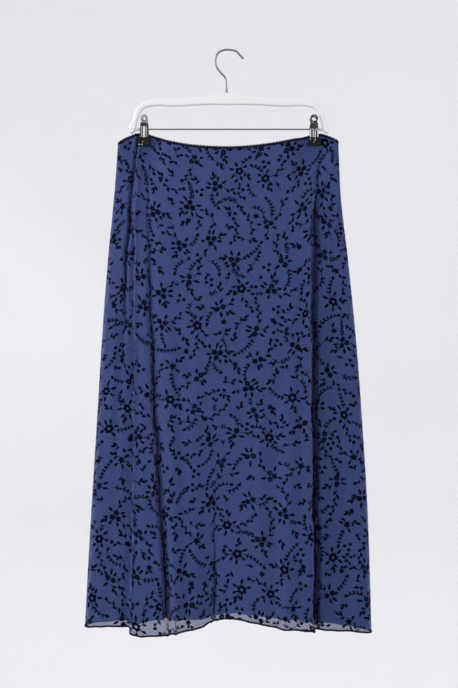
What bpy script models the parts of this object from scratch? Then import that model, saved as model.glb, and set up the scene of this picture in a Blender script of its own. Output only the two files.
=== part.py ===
"""Midi skirt of two flared panels over a lining, held at the waist by a clip hanger. Metres, +Z up, front towards -Y.

The origin is the underside of the hook's crown, by which the hanger hangs. Each cloth piece is a wall between two
grids of points. A row of the grid is a level section through the skirt: quarter-round turns at the side seams, a
broad belly, a centre panel that stands forward of the side flaps, and folds laid over it from the tables below.
"""

import math

import bmesh
import bpy
from mathutils import Vector

COLLECTION = "midi_skirt_on_hanger"

# Cloth walls and the gaps between sewn pieces
CLOTH_WALL = 0.0010
LINING_WALL = 0.0010
SEAM_GAP = 0.0003
HALF_STACK = SEAM_GAP / 2 + LINING_WALL + SEAM_GAP + CLOTH_WALL
ELASTIC_HEIGHT = 0.0042
MITRE_LIMIT = 1.6
MERGE_DISTANCE = 0.00001
SHARP_ANGLE = math.radians(45)

# Side outline and depth: height, left edge, right edge, side turn, front belly, centre panel's step, back belly
OUTLINE = (
    (-0.160, -0.1931, 0.1905, 0.0055, 0.0060, 0.0010, 0.0060),
    (-0.260, -0.2006, 0.1953, 0.0070, 0.0090, 0.0050, 0.0080),
    (-0.365, -0.2110, 0.2075, 0.0085, 0.0110, 0.0100, 0.0100),
    (-0.505, -0.2215, 0.2215, 0.0100, 0.0120, 0.0140, 0.0120),
    (-0.645, -0.2300, 0.2320, 0.0110, 0.0130, 0.0170, 0.0130),
    (-0.785, -0.2389, 0.2407, 0.0120, 0.0140, 0.0200, 0.0150),
    (-0.925, -0.2470, 0.2459, 0.0130, 0.0150, 0.0220, 0.0160),
    (-1.015, -0.2516, 0.2484, 0.0135, 0.0160, 0.0230, 0.0170),
)

# Waist edge, front and back alike: distance across, height
WAIST_EDGE = (
    (-0.1931, -0.1618),
    (-0.1780, -0.1530),
    (-0.1561, -0.1456),
    (-0.1369, -0.1489),
    (-0.1087, -0.1585),
    (-0.0614, -0.1672),
    (0.0000, -0.1704),
    (0.0401, -0.1678),
    (0.0795, -0.1625),
    (0.1245, -0.1535),
    (0.1560, -0.1464),
    (0.1727, -0.1503),
    (0.1905, -0.1590),
)

# Hem edges: distance across, height
FRONT_HEM = (
    (-0.2512, -1.0014),
    (-0.1760, -0.9980),
    (-0.1640, -1.0050),
    (-0.1460, -1.0075),
    (-0.1060, -1.0040),
    (-0.0750, -0.9975),
    (-0.0450, -0.9900),
    (-0.0240, -0.9785),
    (0.0100, -0.9765),
    (0.0500, -0.9845),
    (0.1000, -0.9945),
    (0.1400, -0.9985),
    (0.1650, -1.0035),
    (0.2090, -1.0065),
    (0.2484, -1.0118),
)
BACK_HEM = (
    (-0.2512, -1.0014),
    (-0.1200, -0.9930),
    (0.0000, -0.9850),
    (0.1200, -0.9950),
    (0.2484, -1.0118),
)

# How far the lining ends above the hem: distance across, front, back
LINING_LIFT = (
    (-0.2512, 0.0100, 0.0100),
    (-0.1750, 0.0110, 0.0120),
    (-0.1400, 0.0260, 0.0150),
    (-0.0700, 0.0180, 0.0130),
    (-0.0200, 0.0080, 0.0110),
    (0.0300, 0.0110, 0.0120),
    (0.1200, 0.0160, 0.0140),
    (0.1700, 0.0120, 0.0120),
    (0.2484, 0.0100, 0.0100),
)

# Folds: how far across each line lies at six heights
FOLD_HEIGHTS = (-0.160, -0.280, -0.420, -0.600, -0.800, -1.010)
FRONT_LINES = {
    "left_outer": (-0.1620, -0.1720, -0.1790, -0.1840, -0.1880, -0.1920),
    "step_left": (-0.1500, -0.1600, -0.1610, -0.1610, -0.1630, -0.1680),
    "left_valley": (-0.1360, -0.1390, -0.1350, -0.1260, -0.1160, -0.1040),
    "left_roll": (-0.1120, -0.1100, -0.1060, -0.1010, -0.0940, -0.0880),
    "centre_hollow": (-0.0180, -0.0180, -0.0180, -0.0180, -0.0180, -0.0180),
    "centre_crease": (-0.0200, -0.0210, -0.0220, -0.0230, -0.0235, -0.0260),
    "soft_roll": (0.1020, 0.1050, 0.1080, 0.1060, 0.1010, 0.0960),
    "right_fold": (0.1565, 0.1490, 0.1460, 0.1475, 0.1495, 0.1510),
    "right_outer": (0.1760, 0.1720, 0.1830, 0.1860, 0.1900, 0.1950),
}
BACK_LINES = {
    "back_left": (-0.1500, -0.1500, -0.1480, -0.1460, -0.1430, -0.1400),
    "back_left_roll": (-0.0620, -0.0610, -0.0600, -0.0590, -0.0570, -0.0550),
    "back_middle": (0.0300, 0.0300, 0.0310, 0.0320, 0.0330, 0.0350),
    "back_right": (0.1520, 0.1500, 0.1480, 0.1480, 0.1500, 0.1520),
}

# Folds: reach to the left and right of the line, then the rise (or fall, when negative) at the six heights
FRONT_FOLDS = {
    "left_outer": (0.0060, 0.0060, (0.0, -0.0050, -0.0050, -0.0010, 0.0, 0.0)),
    "left_valley": (0.0065, 0.0130, (0.0, -0.0010, -0.0050, -0.0100, -0.0150, -0.0200)),
    "left_roll": (0.0140, 0.0180, (0.0, 0.0, 0.0010, 0.0030, 0.0050, 0.0070)),
    "centre_hollow": (0.0450, 0.0500, (0.0, 0.0, 0.0, 0.0, -0.0030, -0.0100)),
    "centre_crease": (0.0050, 0.0050, (0.0, 0.0, 0.0, 0.0, -0.0010, -0.0120)),
    "soft_roll": (0.0180, 0.0180, (0.0, 0.0, 0.0010, 0.0030, 0.0040, 0.0060)),
    "right_fold": (0.0065, 0.0120, (-0.0010, -0.0120, -0.0160, -0.0190, -0.0220, -0.0260)),
    "right_outer": (0.0050, 0.0070, (-0.0010, -0.0040, -0.0030, 0.0, 0.0, 0.0)),
}
BACK_FOLDS = {
    "back_left": (0.0120, 0.0180, (0.0, -0.0030, -0.0050, -0.0070, -0.0090, -0.0110)),
    "back_left_roll": (0.0300, 0.0300, (0.0, 0.0, 0.0010, 0.0030, 0.0050, 0.0070)),
    "back_middle": (0.0220, 0.0300, (0.0, 0.0, -0.0010, -0.0030, -0.0050, -0.0080)),
    "back_right": (0.0180, 0.0120, (0.0, -0.0040, -0.0060, -0.0080, -0.0100, -0.0120)),
}
STEP_REACH = 0.0045

# Columns of each panel from left to right: a fold's line with its own reaches, or a count of columns between two
FRONT_PLAN = (
    "turn_left", 2, "left_outer", "step_left", "left_valley", "left_roll", 3, "centre_crease", 4, "soft_roll", 1,
    "right_fold", "right_outer", 2, "turn_right",
)
BACK_PLAN = ("turn_left", 2, "back_left", 2, "back_left_roll", 2, "back_middle", 3, "back_right", 2, "turn_right")
CLOSE_REACHES = {
    "step_left": (-1.0, -0.35, 0.35, 1.0),
    "left_valley": (-1.0, -0.5, 0.0, 0.5, 1.0),
    "left_roll": (0.0,),
    "right_fold": (-1.0, -0.5, 0.0, 0.4, 1.0),
}
PLAIN_REACHES = (-1.0, 0.0, 1.0)
TURN_STEPS = 4
PINCH_ACROSS = (0.0200, 0.0400)
PINCH_DOWN = (0.0260, 0.1100)
ROW_SHARES = (0.0, 0.012, 0.028, 0.055, 0.095, 0.15, 0.23, 0.33, 0.45, 0.58, 0.71, 0.83, 0.93, 1.0)

# Hanger
HANGER_MIDDLE = 0.0005
HANGER_DEPTH = 0.0090
HANGER_EDGE_ROUND = 0.0012
HANGER_UPPER = (
    (0.0200, -0.0745),
    (0.0340, -0.0795),
    (0.0600, -0.0825),
    (0.1300, -0.0860),
    (0.1523, -0.0925),
    (0.1630, -0.1032),
    (0.1674, -0.1189),
    (0.1742, -0.1399),
    (0.1700, -0.1440),
)
HANGER_LOWER = (
    (0.1650, -0.1405),
    (0.1587, -0.1189),
    (0.1507, -0.1032),
    (0.1420, -0.0985),
    (0.0900, -0.0970),
    (0.0400, -0.0945),
)
HANGER_TOP = -0.0737
OUTLINE_STEPS = 3
BAR_HEIGHT = -0.1369
BAR_RADIUS = 0.00125
BAR_HALF_LENGTH = 0.1610
BOSS_RADIUS = 0.0030
BOSS_HALF_SPAN = (0.1575, 0.1660)
FIT_GAP = 0.0003
BORE_OVERRUN = 0.0030
HOOK_WIRE_RADIUS = 0.00175
HOOK_STEPS = 40
HOOK_FOOT = -0.0860
HOOK_ROUTE = (
    (-0.0045, HOOK_FOOT),
    (-0.0045, -0.0740),
    (-0.0046, -0.0600),
    (-0.0060, -0.0480),
    (-0.0150, -0.0375),
    (-0.0220, -0.0270),
    (-0.0236, -0.0160),
    (-0.0200, -0.0052),
    (-0.0110, 0.0008),
    (0.0000, 0.00175),
    (0.0125, -0.0008),
    (0.0192, -0.0078),
    (0.0250, -0.0140),
)

# Clips
CLIP_PLACES = {"left": -0.1475, "right": 0.1481}
PAD_TOP = -0.1519
PAD_HEIGHT = 0.0148
PAD_THICKNESS = 0.0030
PAD_HALF_WIDTHS = {"left": (0.0108, 0.0110), "right": (0.0100, 0.0124)}
PAD_EDGE_ROUND = 0.0006
PAD_INNER = HALF_STACK + FIT_GAP
PLATE_THICKNESS = 0.0012
PLATE_EDGE_ROUND = 0.0003
PLATE_INNER = PAD_INNER + PAD_THICKNESS + FIT_GAP
PLATE_TOP = -0.1262
PLATE_FOOT = -0.1600
PLATE_HALF_WIDTHS = (0.0060, 0.0076, 0.0080)
PLATE_BEND = -0.1330
RING_CENTRE = -0.1190
RING_RADIUS = 0.0056
RING_WIRE = 0.0013
RING_STEPS = 18
RING_SIDES = 6
SPRING_STEPS = 16
SPRING_HALF_LENGTH = 0.0062
CLIP_PARTS = (("front", -1.0), ("back", 1.0))


def blend(a, b, share):
    """The value between a and b."""
    return a + (b - a) * share


def smooth_step(low, high, value):
    """0 below low, 1 above high, and a soft change between."""
    share = min(max((value - low) / (high - low), 0.0), 1.0)
    return share * share * (3.0 - 2.0 * share)


def smooth_read(keys, values, key):
    """Reads a table at key, on a smooth curve through its values. Keys may rise or fall."""
    if keys[0] > keys[-1]:
        keys = keys[::-1]
        values = values[::-1]
    key = min(max(key, keys[0]), keys[-1])
    place = 0
    while place < len(keys) - 2 and key > keys[place + 1]:
        place += 1

    def slope(i):
        low = max(i - 1, 0)
        high = min(i + 1, len(keys) - 1)
        return (values[high] - values[low]) / (keys[high] - keys[low])

    span = keys[place + 1] - keys[place]
    t = (key - keys[place]) / span
    rise_a = slope(place) * span
    rise_b = slope(place + 1) * span
    value = (2 * t**3 - 3 * t**2 + 1) * values[place] + (t**3 - 2 * t**2 + t) * rise_a
    return value + (3 * t**2 - 2 * t**3) * values[place + 1] + (t**3 - t**2) * rise_b


def column_of(table, column):
    """One column of a table."""
    return tuple(row[column] for row in table)


def outline_at(height):
    """Left edge, right edge, side turn, front belly, centre step and back belly at a height."""
    heights = column_of(OUTLINE, 0)
    return tuple(smooth_read(heights, column_of(OUTLINE, column), height) for column in range(1, 7))


def edge_height(table, across, column=1):
    """The height of a waist or hem edge, or a lift, at a place across the skirt."""
    return smooth_read(column_of(table, 0), column_of(table, column), across)


def pinch(across, height):
    """1 where a clip holds the cloth flat, falling to 0 away from it."""
    below_waist = edge_height(WAIST_EDGE, across) - height
    hold = 0.0
    for place in CLIP_PLACES.values():
        sideways = 1.0 - smooth_step(*PINCH_ACROSS, abs(across - place))
        downwards = 1.0 - smooth_step(*PINCH_DOWN, below_waist)
        hold = max(hold, sideways * downwards)
    return hold


def fold_shape(offset, reach_left, reach_right):
    """A fold's cross-section: 1 on its line, 0 at its reaches."""
    share = offset / (reach_right if offset > 0 else reach_left)
    if abs(share) >= 1.0:
        return 0.0
    return (1.0 - share * share) ** 2


def depth_at(across, height, is_front):
    """How far the cloth's outer face stands from the skirt's middle plane."""
    left, right, turn, belly, step, back_belly = outline_at(height)
    middle = (left + right) / 2
    share = (across - middle) / ((right - left) / 2)
    inward = min(across - left, right - across)
    rounding = math.sqrt(max(0.0, 1.0 - (1.0 - min(inward / turn, 1.0)) ** 2))
    depth = turn * rounding
    lines = FRONT_LINES if is_front else BACK_LINES
    folds = FRONT_FOLDS if is_front else BACK_FOLDS
    if is_front:
        depth += belly * (1.0 - share * share)
        step_left = smooth_read(FOLD_HEIGHTS, lines["step_left"], height)
        step_right = smooth_read(FOLD_HEIGHTS, lines["right_fold"], height)
        rise = smooth_step(step_left - STEP_REACH, step_left + STEP_REACH, across)
        fall = smooth_step(step_right - STEP_REACH, step_right + STEP_REACH, across)
        depth += step * (rise - fall)
    else:
        depth += back_belly * (1.0 - share * share)
    for name, (reach_left, reach_right, rises) in folds.items():
        line = smooth_read(FOLD_HEIGHTS, lines[name], height)
        shape = fold_shape(across - line, reach_left, reach_right)
        if shape:
            depth += shape * smooth_read(FOLD_HEIGHTS, rises, height)
    depth = max(depth, HALF_STACK * rounding)
    depth = blend(depth, HALF_STACK, pinch(across, height))
    return max(depth, SEAM_GAP / 2)


def group_columns(name, height, is_front):
    """The places across of one group of columns in a plan."""
    left, right, turn = outline_at(height)[:3]
    if name in ("turn_left", "turn_right"):
        angles = [math.pi / 2 * step / TURN_STEPS for step in range(TURN_STEPS + 1)]
        inward = [turn * (1.0 - math.cos(angle)) for angle in angles]
        if name == "turn_left":
            return [left + value for value in inward]
        return [right - value for value in reversed(inward)]
    line = smooth_read(FOLD_HEIGHTS, (FRONT_LINES if is_front else BACK_LINES)[name], height)
    if name == "step_left":
        reaches = (STEP_REACH, STEP_REACH)
    else:
        reaches = (FRONT_FOLDS if is_front else BACK_FOLDS)[name][:2]
    shares = CLOSE_REACHES.get(name, PLAIN_REACHES)
    return [line + share * reaches[1 if share > 0 else 0] for share in shares]


def columns_at(height, is_front):
    """All places across of a panel's columns at a height, from left to right."""
    plan = FRONT_PLAN if is_front else BACK_PLAN
    places = []
    waiting = 0
    for entry in plan:
        if isinstance(entry, int):
            waiting = entry
            continue
        group = group_columns(entry, height, is_front)
        if waiting:
            start = places[-1]
            for step in range(1, waiting + 1):
                places.append(blend(start, group[0], step / (waiting + 1)))
            waiting = 0
        places.extend(group)
    return places


def panel_rows(is_front):
    """Rows of (across, height) for a panel, from the elastic down to the hem."""
    hem = FRONT_HEM if is_front else BACK_HEM
    top_columns = columns_at(OUTLINE[0][0], is_front)
    hem_columns = columns_at(OUTLINE[-1][0], is_front)
    tops = [edge_height(WAIST_EDGE, across) - ELASTIC_HEIGHT - SEAM_GAP for across in top_columns]
    feet = [edge_height(hem, across) for across in hem_columns]
    rows = []
    for share in ROW_SHARES:
        row = []
        for index in range(len(tops)):
            height = blend(tops[index], feet[index], share)
            row.append((columns_at(height, is_front)[index], height))
        rows.append(row)
    return rows


def face_points(rows, is_front):
    """Puts each point of the rows on the cloth's outer face."""
    side = -1.0 if is_front else 1.0
    grid = []
    for row in rows:
        grid.append([Vector((across, side * depth_at(across, height, is_front), height)) for across, height in row])
    return grid


def inset(grid, distance, is_front):
    """Moves each row's points inwards by a distance, square to the row, with its two seam ends straight inwards."""
    side = 1.0 if is_front else -1.0
    moved = []
    for row in grid:
        normals = []
        for a, b in zip(row, row[1:]):
            along = Vector((b.x - a.x, b.y - a.y)).normalized()
            normals.append(Vector((-along.y * side, along.x * side)))
        new_row = []
        for index, point in enumerate(row):
            if index == 0:
                shift = Vector((1.0, 0.0))
            elif index == len(row) - 1:
                shift = Vector((-1.0, 0.0))
            else:
                shift = (normals[index - 1] + normals[index]).normalized()
                shift /= max(shift.dot(normals[index]), 1.0 / MITRE_LIMIT)
            new_row.append(Vector((point.x + shift.x * distance, point.y + shift.y * distance, point.z)))
        moved.append(new_row)
    return moved


def lining_rows(grid, is_front):
    """Ends a grid above the hem, on the last row of faces."""
    above = grid[-2]
    below = grid[-1]
    last = []
    for high, low in zip(above, below):
        lift = edge_height(LINING_LIFT, low.x, 1 if is_front else 2)
        share = 1.0 - lift / (high.z - low.z)
        last.append(high.lerp(low, share))
    return grid[:-1] + [last]


def material(name, color, roughness, metallic=0.0):
    """A plain finish."""
    made = bpy.data.materials.new(name)
    made.use_nodes = True
    shader = made.node_tree.nodes["Principled BSDF"]
    shader.inputs["Base Color"].default_value = (*color, 1.0)
    shader.inputs["Roughness"].default_value = roughness
    shader.inputs["Metallic"].default_value = metallic
    return made


def add_object(name, mesh, collection, finish):
    """Links a mesh as a named object."""
    made = bpy.data.objects.new(name, mesh)
    collection.objects.link(made)
    if finish:
        mesh.materials.append(finish)
    return made


def wall_mesh(name, outer, inner, ring=False):
    """A closed wall between two grids of points, or a closed hoop of wall when ring is set."""
    made = bmesh.new()
    outside = [[made.verts.new(point) for point in row] for row in outer]
    inside = [[made.verts.new(point) for point in row] for row in inner]
    count = len(outer[0])
    pairs = [(i, (i + 1) % count) for i in range(count if ring else count - 1)]
    for j in range(len(outer) - 1):
        for i, k in pairs:
            made.faces.new((outside[j][i], outside[j + 1][i], outside[j + 1][k], outside[j][k]))
            made.faces.new((inside[j][i], inside[j][k], inside[j + 1][k], inside[j + 1][i]))
    for i, k in pairs:
        made.faces.new((outside[0][i], outside[0][k], inside[0][k], inside[0][i]))
        made.faces.new((outside[-1][i], inside[-1][i], inside[-1][k], outside[-1][k]))
    if not ring:
        for j in range(len(outer) - 1):
            made.faces.new((outside[j][0], inside[j][0], inside[j + 1][0], outside[j + 1][0]))
            made.faces.new((outside[j][-1], outside[j + 1][-1], inside[j + 1][-1], inside[j][-1]))
    bmesh.ops.triangulate(made, faces=made.faces[:], quad_method="FIXED")
    bmesh.ops.recalc_face_normals(made, faces=made.faces[:])
    mesh = bpy.data.meshes.new(name)
    made.to_mesh(mesh)
    made.free()
    mesh.shade_smooth()
    mesh.set_sharp_from_angle(angle=SHARP_ANGLE)
    return mesh


def build_cloth(parts, finishes):
    """Both outer panels, both lining panels and the waist elastic that joins them."""
    waist_outer = {}
    waist_inner = {}
    for is_front, side in ((True, "front"), (False, "back")):
        outer = face_points(panel_rows(is_front), is_front)
        inner = inset(outer, CLOTH_WALL, is_front)
        add_object(f"{side}_panel", wall_mesh(f"{side}_panel", outer, inner), parts, finishes["chiffon"])
        lining_outer = inset(outer, CLOTH_WALL + SEAM_GAP, is_front)
        lining_inner = inset(outer, CLOTH_WALL + SEAM_GAP + LINING_WALL, is_front)
        mesh = wall_mesh(f"lining_{side}", lining_rows(lining_outer, is_front), lining_rows(lining_inner, is_front))
        add_object(f"lining_{side}", mesh, parts, finishes["lining"])
        waist_outer[side] = outer[0]
        waist_inner[side] = lining_inner[0]
    outer_hoop = waist_outer["front"] + waist_outer["back"][::-1]
    inner_hoop = waist_inner["front"] + waist_inner["back"][::-1]
    low = Vector((0.0, 0.0, SEAM_GAP))
    high = Vector((0.0, 0.0, SEAM_GAP + ELASTIC_HEIGHT))
    outer = [[point + high for point in outer_hoop], [point + low for point in outer_hoop]]
    inner = [[point + high for point in inner_hoop], [point + low for point in inner_hoop]]
    add_object("waist_elastic", wall_mesh("waist_elastic", outer, inner, ring=True), parts, finishes["elastic"])


def mesh_from_curve(name, curve, parts, finish):
    """Makes a curve a closed mesh object and removes the curve."""
    graph = bpy.context.evaluated_depsgraph_get()
    mesh = bpy.data.meshes.new_from_object(curve.evaluated_get(graph))
    mesh.name = name
    welded = bmesh.new()
    welded.from_mesh(mesh)
    bmesh.ops.remove_doubles(welded, verts=welded.verts[:], dist=MERGE_DISTANCE)
    welded.to_mesh(mesh)
    welded.free()
    mesh.materials.clear()
    made = add_object(name, mesh, parts, finish)
    made.matrix_world = curve.matrix_world
    bpy.data.objects.remove(curve)
    return made


def add_curve(name, points, parts, closed=False, kind="POLY"):
    """A curve object through points."""
    curve = bpy.data.curves.new(name, "CURVE")
    spline = curve.splines.new(kind)
    if kind == "BEZIER":
        spline.bezier_points.add(len(points) - 1)
        for knot, point in zip(spline.bezier_points, points):
            knot.co = point
            knot.handle_left_type = "AUTO"
            knot.handle_right_type = "AUTO"
    else:
        spline.points.add(len(points) - 1)
        for knot, point in zip(spline.points, points):
            knot.co = (*point, 1.0)
    spline.use_cyclic_u = closed
    made = bpy.data.objects.new(name, curve)
    parts.objects.link(made)
    return made


def add_cylinder(name, radius, span, place, axis, collection, finish=None, sides=24):
    """A round bar whose span runs from its first to its second place along an axis."""
    centre = Vector(place)
    turn = (0.0, 0.0, 0.0)
    if axis == "X":
        centre.x = (span[0] + span[1]) / 2
        turn = (0.0, math.pi / 2, 0.0)
    else:
        centre.z = (span[0] + span[1]) / 2
    bpy.ops.mesh.primitive_cylinder_add(
        vertices=sides, radius=radius, depth=abs(span[1] - span[0]), location=centre, rotation=turn
    )
    made = bpy.context.active_object
    for owner in list(made.users_collection):
        owner.objects.unlink(made)
    collection.objects.link(made)
    made.name = name
    made.data.name = name
    made.data.shade_smooth()
    made.data.set_sharp_from_angle(angle=SHARP_ANGLE)
    if finish:
        made.data.materials.append(finish)
    return made


def use_as_tool(tool, target, operation):
    """Joins a tool to a target or cuts it out, and hides the tool."""
    tool.hide_render = True
    tool.display_type = "WIRE"
    modifier = target.modifiers.new(tool.name, "BOOLEAN")
    modifier.operation = operation
    modifier.solver = "EXACT"
    modifier.object = tool


def smooth_route(points, steps):
    """Points on a smooth curve through the route's own points."""
    distances = [0.0]
    for a, b in zip(points, points[1:]):
        distances.append(distances[-1] + math.dist(a, b))
    route = []
    for step in range(steps + 1):
        distance = distances[-1] * step / steps
        route.append(tuple(smooth_read(distances, column_of(points, axis), distance) for axis in range(2)))
    return route


def build_hanger(parts, cutters, finishes):
    """The moulded hanger with its bosses and bores, the wire hook and the bar."""
    right = list(HANGER_UPPER + HANGER_LOWER)
    left = [(-across, height) for across, height in reversed(right)]
    lower_middle = (0.0, HANGER_LOWER[-1][1])
    upper_middle = (0.0, HANGER_TOP)
    outline = [upper_middle] + right + [lower_middle] + left
    curve = add_curve("hanger_outline", [(x, z, 0.0) for x, z in outline], parts, closed=True, kind="BEZIER")
    curve.data.dimensions = "2D"
    curve.data.fill_mode = "BOTH"
    curve.data.resolution_u = OUTLINE_STEPS
    curve.data.extrude = HANGER_DEPTH / 2 - HANGER_EDGE_ROUND
    curve.data.bevel_depth = HANGER_EDGE_ROUND
    curve.data.bevel_resolution = 0
    curve.data.offset = -HANGER_EDGE_ROUND
    curve.location = (HANGER_MIDDLE, 0.0, 0.0)
    curve.rotation_euler = (math.pi / 2, 0.0, 0.0)
    bpy.context.view_layer.update()
    body = mesh_from_curve("hanger_body", curve, parts, finishes["white_plastic"])
    for side, sign in (("left", -1.0), ("right", 1.0)):
        span = [HANGER_MIDDLE + sign * value for value in BOSS_HALF_SPAN]
        boss = add_cylinder(f"boss_{side}", BOSS_RADIUS, span, (0.0, 0.0, BAR_HEIGHT), "X", cutters)
        use_as_tool(boss, body, "UNION")
    reach = BAR_HALF_LENGTH + FIT_GAP
    for side, sign in (("left", -1.0), ("right", 1.0)):
        span = [HANGER_MIDDLE + sign * (BOSS_HALF_SPAN[0] - BORE_OVERRUN), HANGER_MIDDLE + sign * reach]
        bore = add_cylinder(f"bore_{side}", BAR_RADIUS + FIT_GAP, span, (0.0, 0.0, BAR_HEIGHT), "X", cutters)
        use_as_tool(bore, body, "DIFFERENCE")
    shank_x = HOOK_ROUTE[0][0]
    span = (HOOK_FOOT - FIT_GAP, HANGER_TOP + BORE_OVERRUN)
    shank_bore = add_cylinder("bore_shank", HOOK_WIRE_RADIUS + FIT_GAP, span, (shank_x, 0.0, 0.0), "Z", cutters)
    use_as_tool(shank_bore, body, "DIFFERENCE")

    route = [(across, 0.0, height) for across, height in smooth_route(HOOK_ROUTE, HOOK_STEPS)]
    hook = add_curve("hanger_hook", route, parts)
    hook.data.dimensions = "3D"
    hook.data.bevel_depth = HOOK_WIRE_RADIUS
    hook.data.bevel_resolution = 2
    hook.data.use_fill_caps = True
    hook.data.materials.append(finishes["chrome"])

    ends = (HANGER_MIDDLE - BAR_HALF_LENGTH, HANGER_MIDDLE + BAR_HALF_LENGTH)
    add_cylinder("hanger_bar", BAR_RADIUS, ends, (0.0, 0.0, BAR_HEIGHT), "X", parts, finishes["dark_wire"], sides=12)


def add_slab(name, outline, thickness, place, facing, parts, finish, edge_round):
    """A flat piece with rounded edges. Its outline is across and height, its inner face at place, built outwards."""
    made = bmesh.new()
    inner = [made.verts.new((across, facing * place, height)) for across, height in outline]
    face = made.faces.new(inner)
    grown = bmesh.ops.extrude_face_region(made, geom=[face])
    moved = [item for item in grown["geom"] if isinstance(item, bmesh.types.BMVert)]
    bmesh.ops.translate(made, verts=moved, vec=(0.0, facing * thickness, 0.0))
    bmesh.ops.recalc_face_normals(made, faces=made.faces[:])
    mesh = bpy.data.meshes.new(name)
    made.to_mesh(mesh)
    made.free()
    slab = add_object(name, mesh, parts, finish)
    bevel = slab.modifiers.new("rounded_edges", "BEVEL")
    bevel.width = edge_round
    bevel.segments = 1
    bevel.limit_method = "ANGLE"
    bevel.angle_limit = SHARP_ANGLE
    return slab


def build_clip(side, parts, finishes):
    """One clip: a coil spring round the bar, two sprung plates with a finger ring each, and two grip pads."""
    place = CLIP_PLACES[side]
    top_half, foot_half = PAD_HALF_WIDTHS[side]
    pad_foot = PAD_TOP - PAD_HEIGHT
    pad_outline = (
        (place - top_half, PAD_TOP),
        (place + top_half, PAD_TOP),
        (place + foot_half, pad_foot),
        (place - foot_half, pad_foot),
    )
    neck, waist, foot = PLATE_HALF_WIDTHS
    plate_outline = (
        (place - neck, PLATE_TOP),
        (place + neck, PLATE_TOP),
        (place + waist, PLATE_BEND),
        (place + foot, PLATE_FOOT),
        (place - foot, PLATE_FOOT),
        (place - waist, PLATE_BEND),
    )
    for name, facing in CLIP_PARTS:
        add_slab(
            f"clip_{side}_pad_{name}", pad_outline, PAD_THICKNESS, PAD_INNER, facing, parts,
            finishes["rubber"], PAD_EDGE_ROUND,
        )
        add_slab(
            f"clip_{side}_plate_{name}", plate_outline, PLATE_THICKNESS, PLATE_INNER, facing, parts,
            finishes["chrome"], PLATE_EDGE_ROUND,
        )
        bpy.ops.mesh.primitive_torus_add(
            location=(place, facing * (PLATE_INNER + PLATE_THICKNESS / 2), RING_CENTRE),
            rotation=(math.pi / 2, 0.0, 0.0),
            major_radius=RING_RADIUS,
            minor_radius=RING_WIRE,
            major_segments=RING_STEPS,
            minor_segments=RING_SIDES,
        )
        ring = bpy.context.active_object
        for owner in list(ring.users_collection):
            owner.objects.unlink(ring)
        parts.objects.link(ring)
        ring.name = f"clip_{side}_ring_{name}"
        ring.data.name = ring.name
        ring.data.shade_smooth()
        ring.data.materials.append(finishes["chrome"])

    inner = BAR_RADIUS + FIT_GAP
    outer = PLATE_INNER - FIT_GAP
    profile = bpy.data.meshes.new(f"clip_{side}_spring")
    corners = (
        (outer, SPRING_HALF_LENGTH), (outer, -SPRING_HALF_LENGTH),
        (inner, -SPRING_HALF_LENGTH), (inner, SPRING_HALF_LENGTH),
    )
    profile.from_pydata([(radius, 0.0, along) for radius, along in corners], [(0, 1), (1, 2), (2, 3), (3, 0)], [])
    spring = add_object(f"clip_{side}_spring", profile, parts, finishes["chrome"])
    spring.rotation_euler = (0.0, math.pi / 2, 0.0)
    spring.location = (place, 0.0, BAR_HEIGHT)
    turning = spring.modifiers.new("turned", "SCREW")
    turning.axis = "Z"
    turning.steps = SPRING_STEPS
    turning.render_steps = SPRING_STEPS
    turning.use_merge_vertices = True
    turning.merge_threshold = MERGE_DISTANCE
    turning.use_smooth_shade = False


def main():
    """Clears the scene and builds the skirt and its hanger."""
    for old in list(bpy.data.objects):
        bpy.data.objects.remove(old)
    parts = bpy.data.collections.new(COLLECTION)
    cutters = bpy.data.collections.new("cutters")
    bpy.context.scene.collection.children.link(parts)
    bpy.context.scene.collection.children.link(cutters)
    finishes = {
        "chiffon": material("chiffon", (0.046, 0.070, 0.195), 0.85),
        "lining": material("lining", (0.060, 0.090, 0.250), 0.60),
        "elastic": material("elastic", (0.008, 0.010, 0.035), 0.90),
        "white_plastic": material("white_plastic", (0.82, 0.82, 0.82), 0.35),
        "chrome": material("chrome", (0.62, 0.62, 0.63), 0.18, 1.0),
        "dark_wire": material("dark_wire", (0.16, 0.14, 0.14), 0.35, 1.0),
        "rubber": material("rubber", (0.012, 0.012, 0.012), 0.70),
    }
    build_cloth(parts, finishes)
    build_hanger(parts, cutters, finishes)
    for side in CLIP_PLACES:
        build_clip(side, parts, finishes)


main()
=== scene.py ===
"""Dresses the midi skirt and its clip hanger: sheer chiffon over a lining, a flocked print, sewn edges, a moulded
hanger and two plated clips. Metres, +Z up, front towards -Y."""

import math
import random

import bmesh
import bpy
import numpy as np
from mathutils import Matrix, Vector


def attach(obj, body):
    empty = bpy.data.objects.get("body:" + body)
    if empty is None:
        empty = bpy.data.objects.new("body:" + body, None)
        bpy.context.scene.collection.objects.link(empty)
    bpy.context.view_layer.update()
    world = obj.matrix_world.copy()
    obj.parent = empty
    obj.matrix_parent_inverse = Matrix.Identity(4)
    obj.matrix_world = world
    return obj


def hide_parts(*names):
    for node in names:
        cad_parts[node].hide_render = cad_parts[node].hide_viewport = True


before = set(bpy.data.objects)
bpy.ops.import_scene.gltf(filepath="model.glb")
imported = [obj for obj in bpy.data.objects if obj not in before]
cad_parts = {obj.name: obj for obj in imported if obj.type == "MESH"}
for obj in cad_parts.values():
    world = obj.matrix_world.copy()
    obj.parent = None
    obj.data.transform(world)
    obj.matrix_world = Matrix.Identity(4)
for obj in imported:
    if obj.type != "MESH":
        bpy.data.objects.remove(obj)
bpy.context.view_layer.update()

bl_info = {
    "name": "Midi Skirt on a Clip Hanger",
    "version": (1, 0, 0),
    "blender": (4, 5, 0),
    "location": "3D View > Sidebar > Skirt",
    "description": "Sews, prints and hangs a sheer lined midi skirt on its clip hanger",
    "category": "Object",
}

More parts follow.
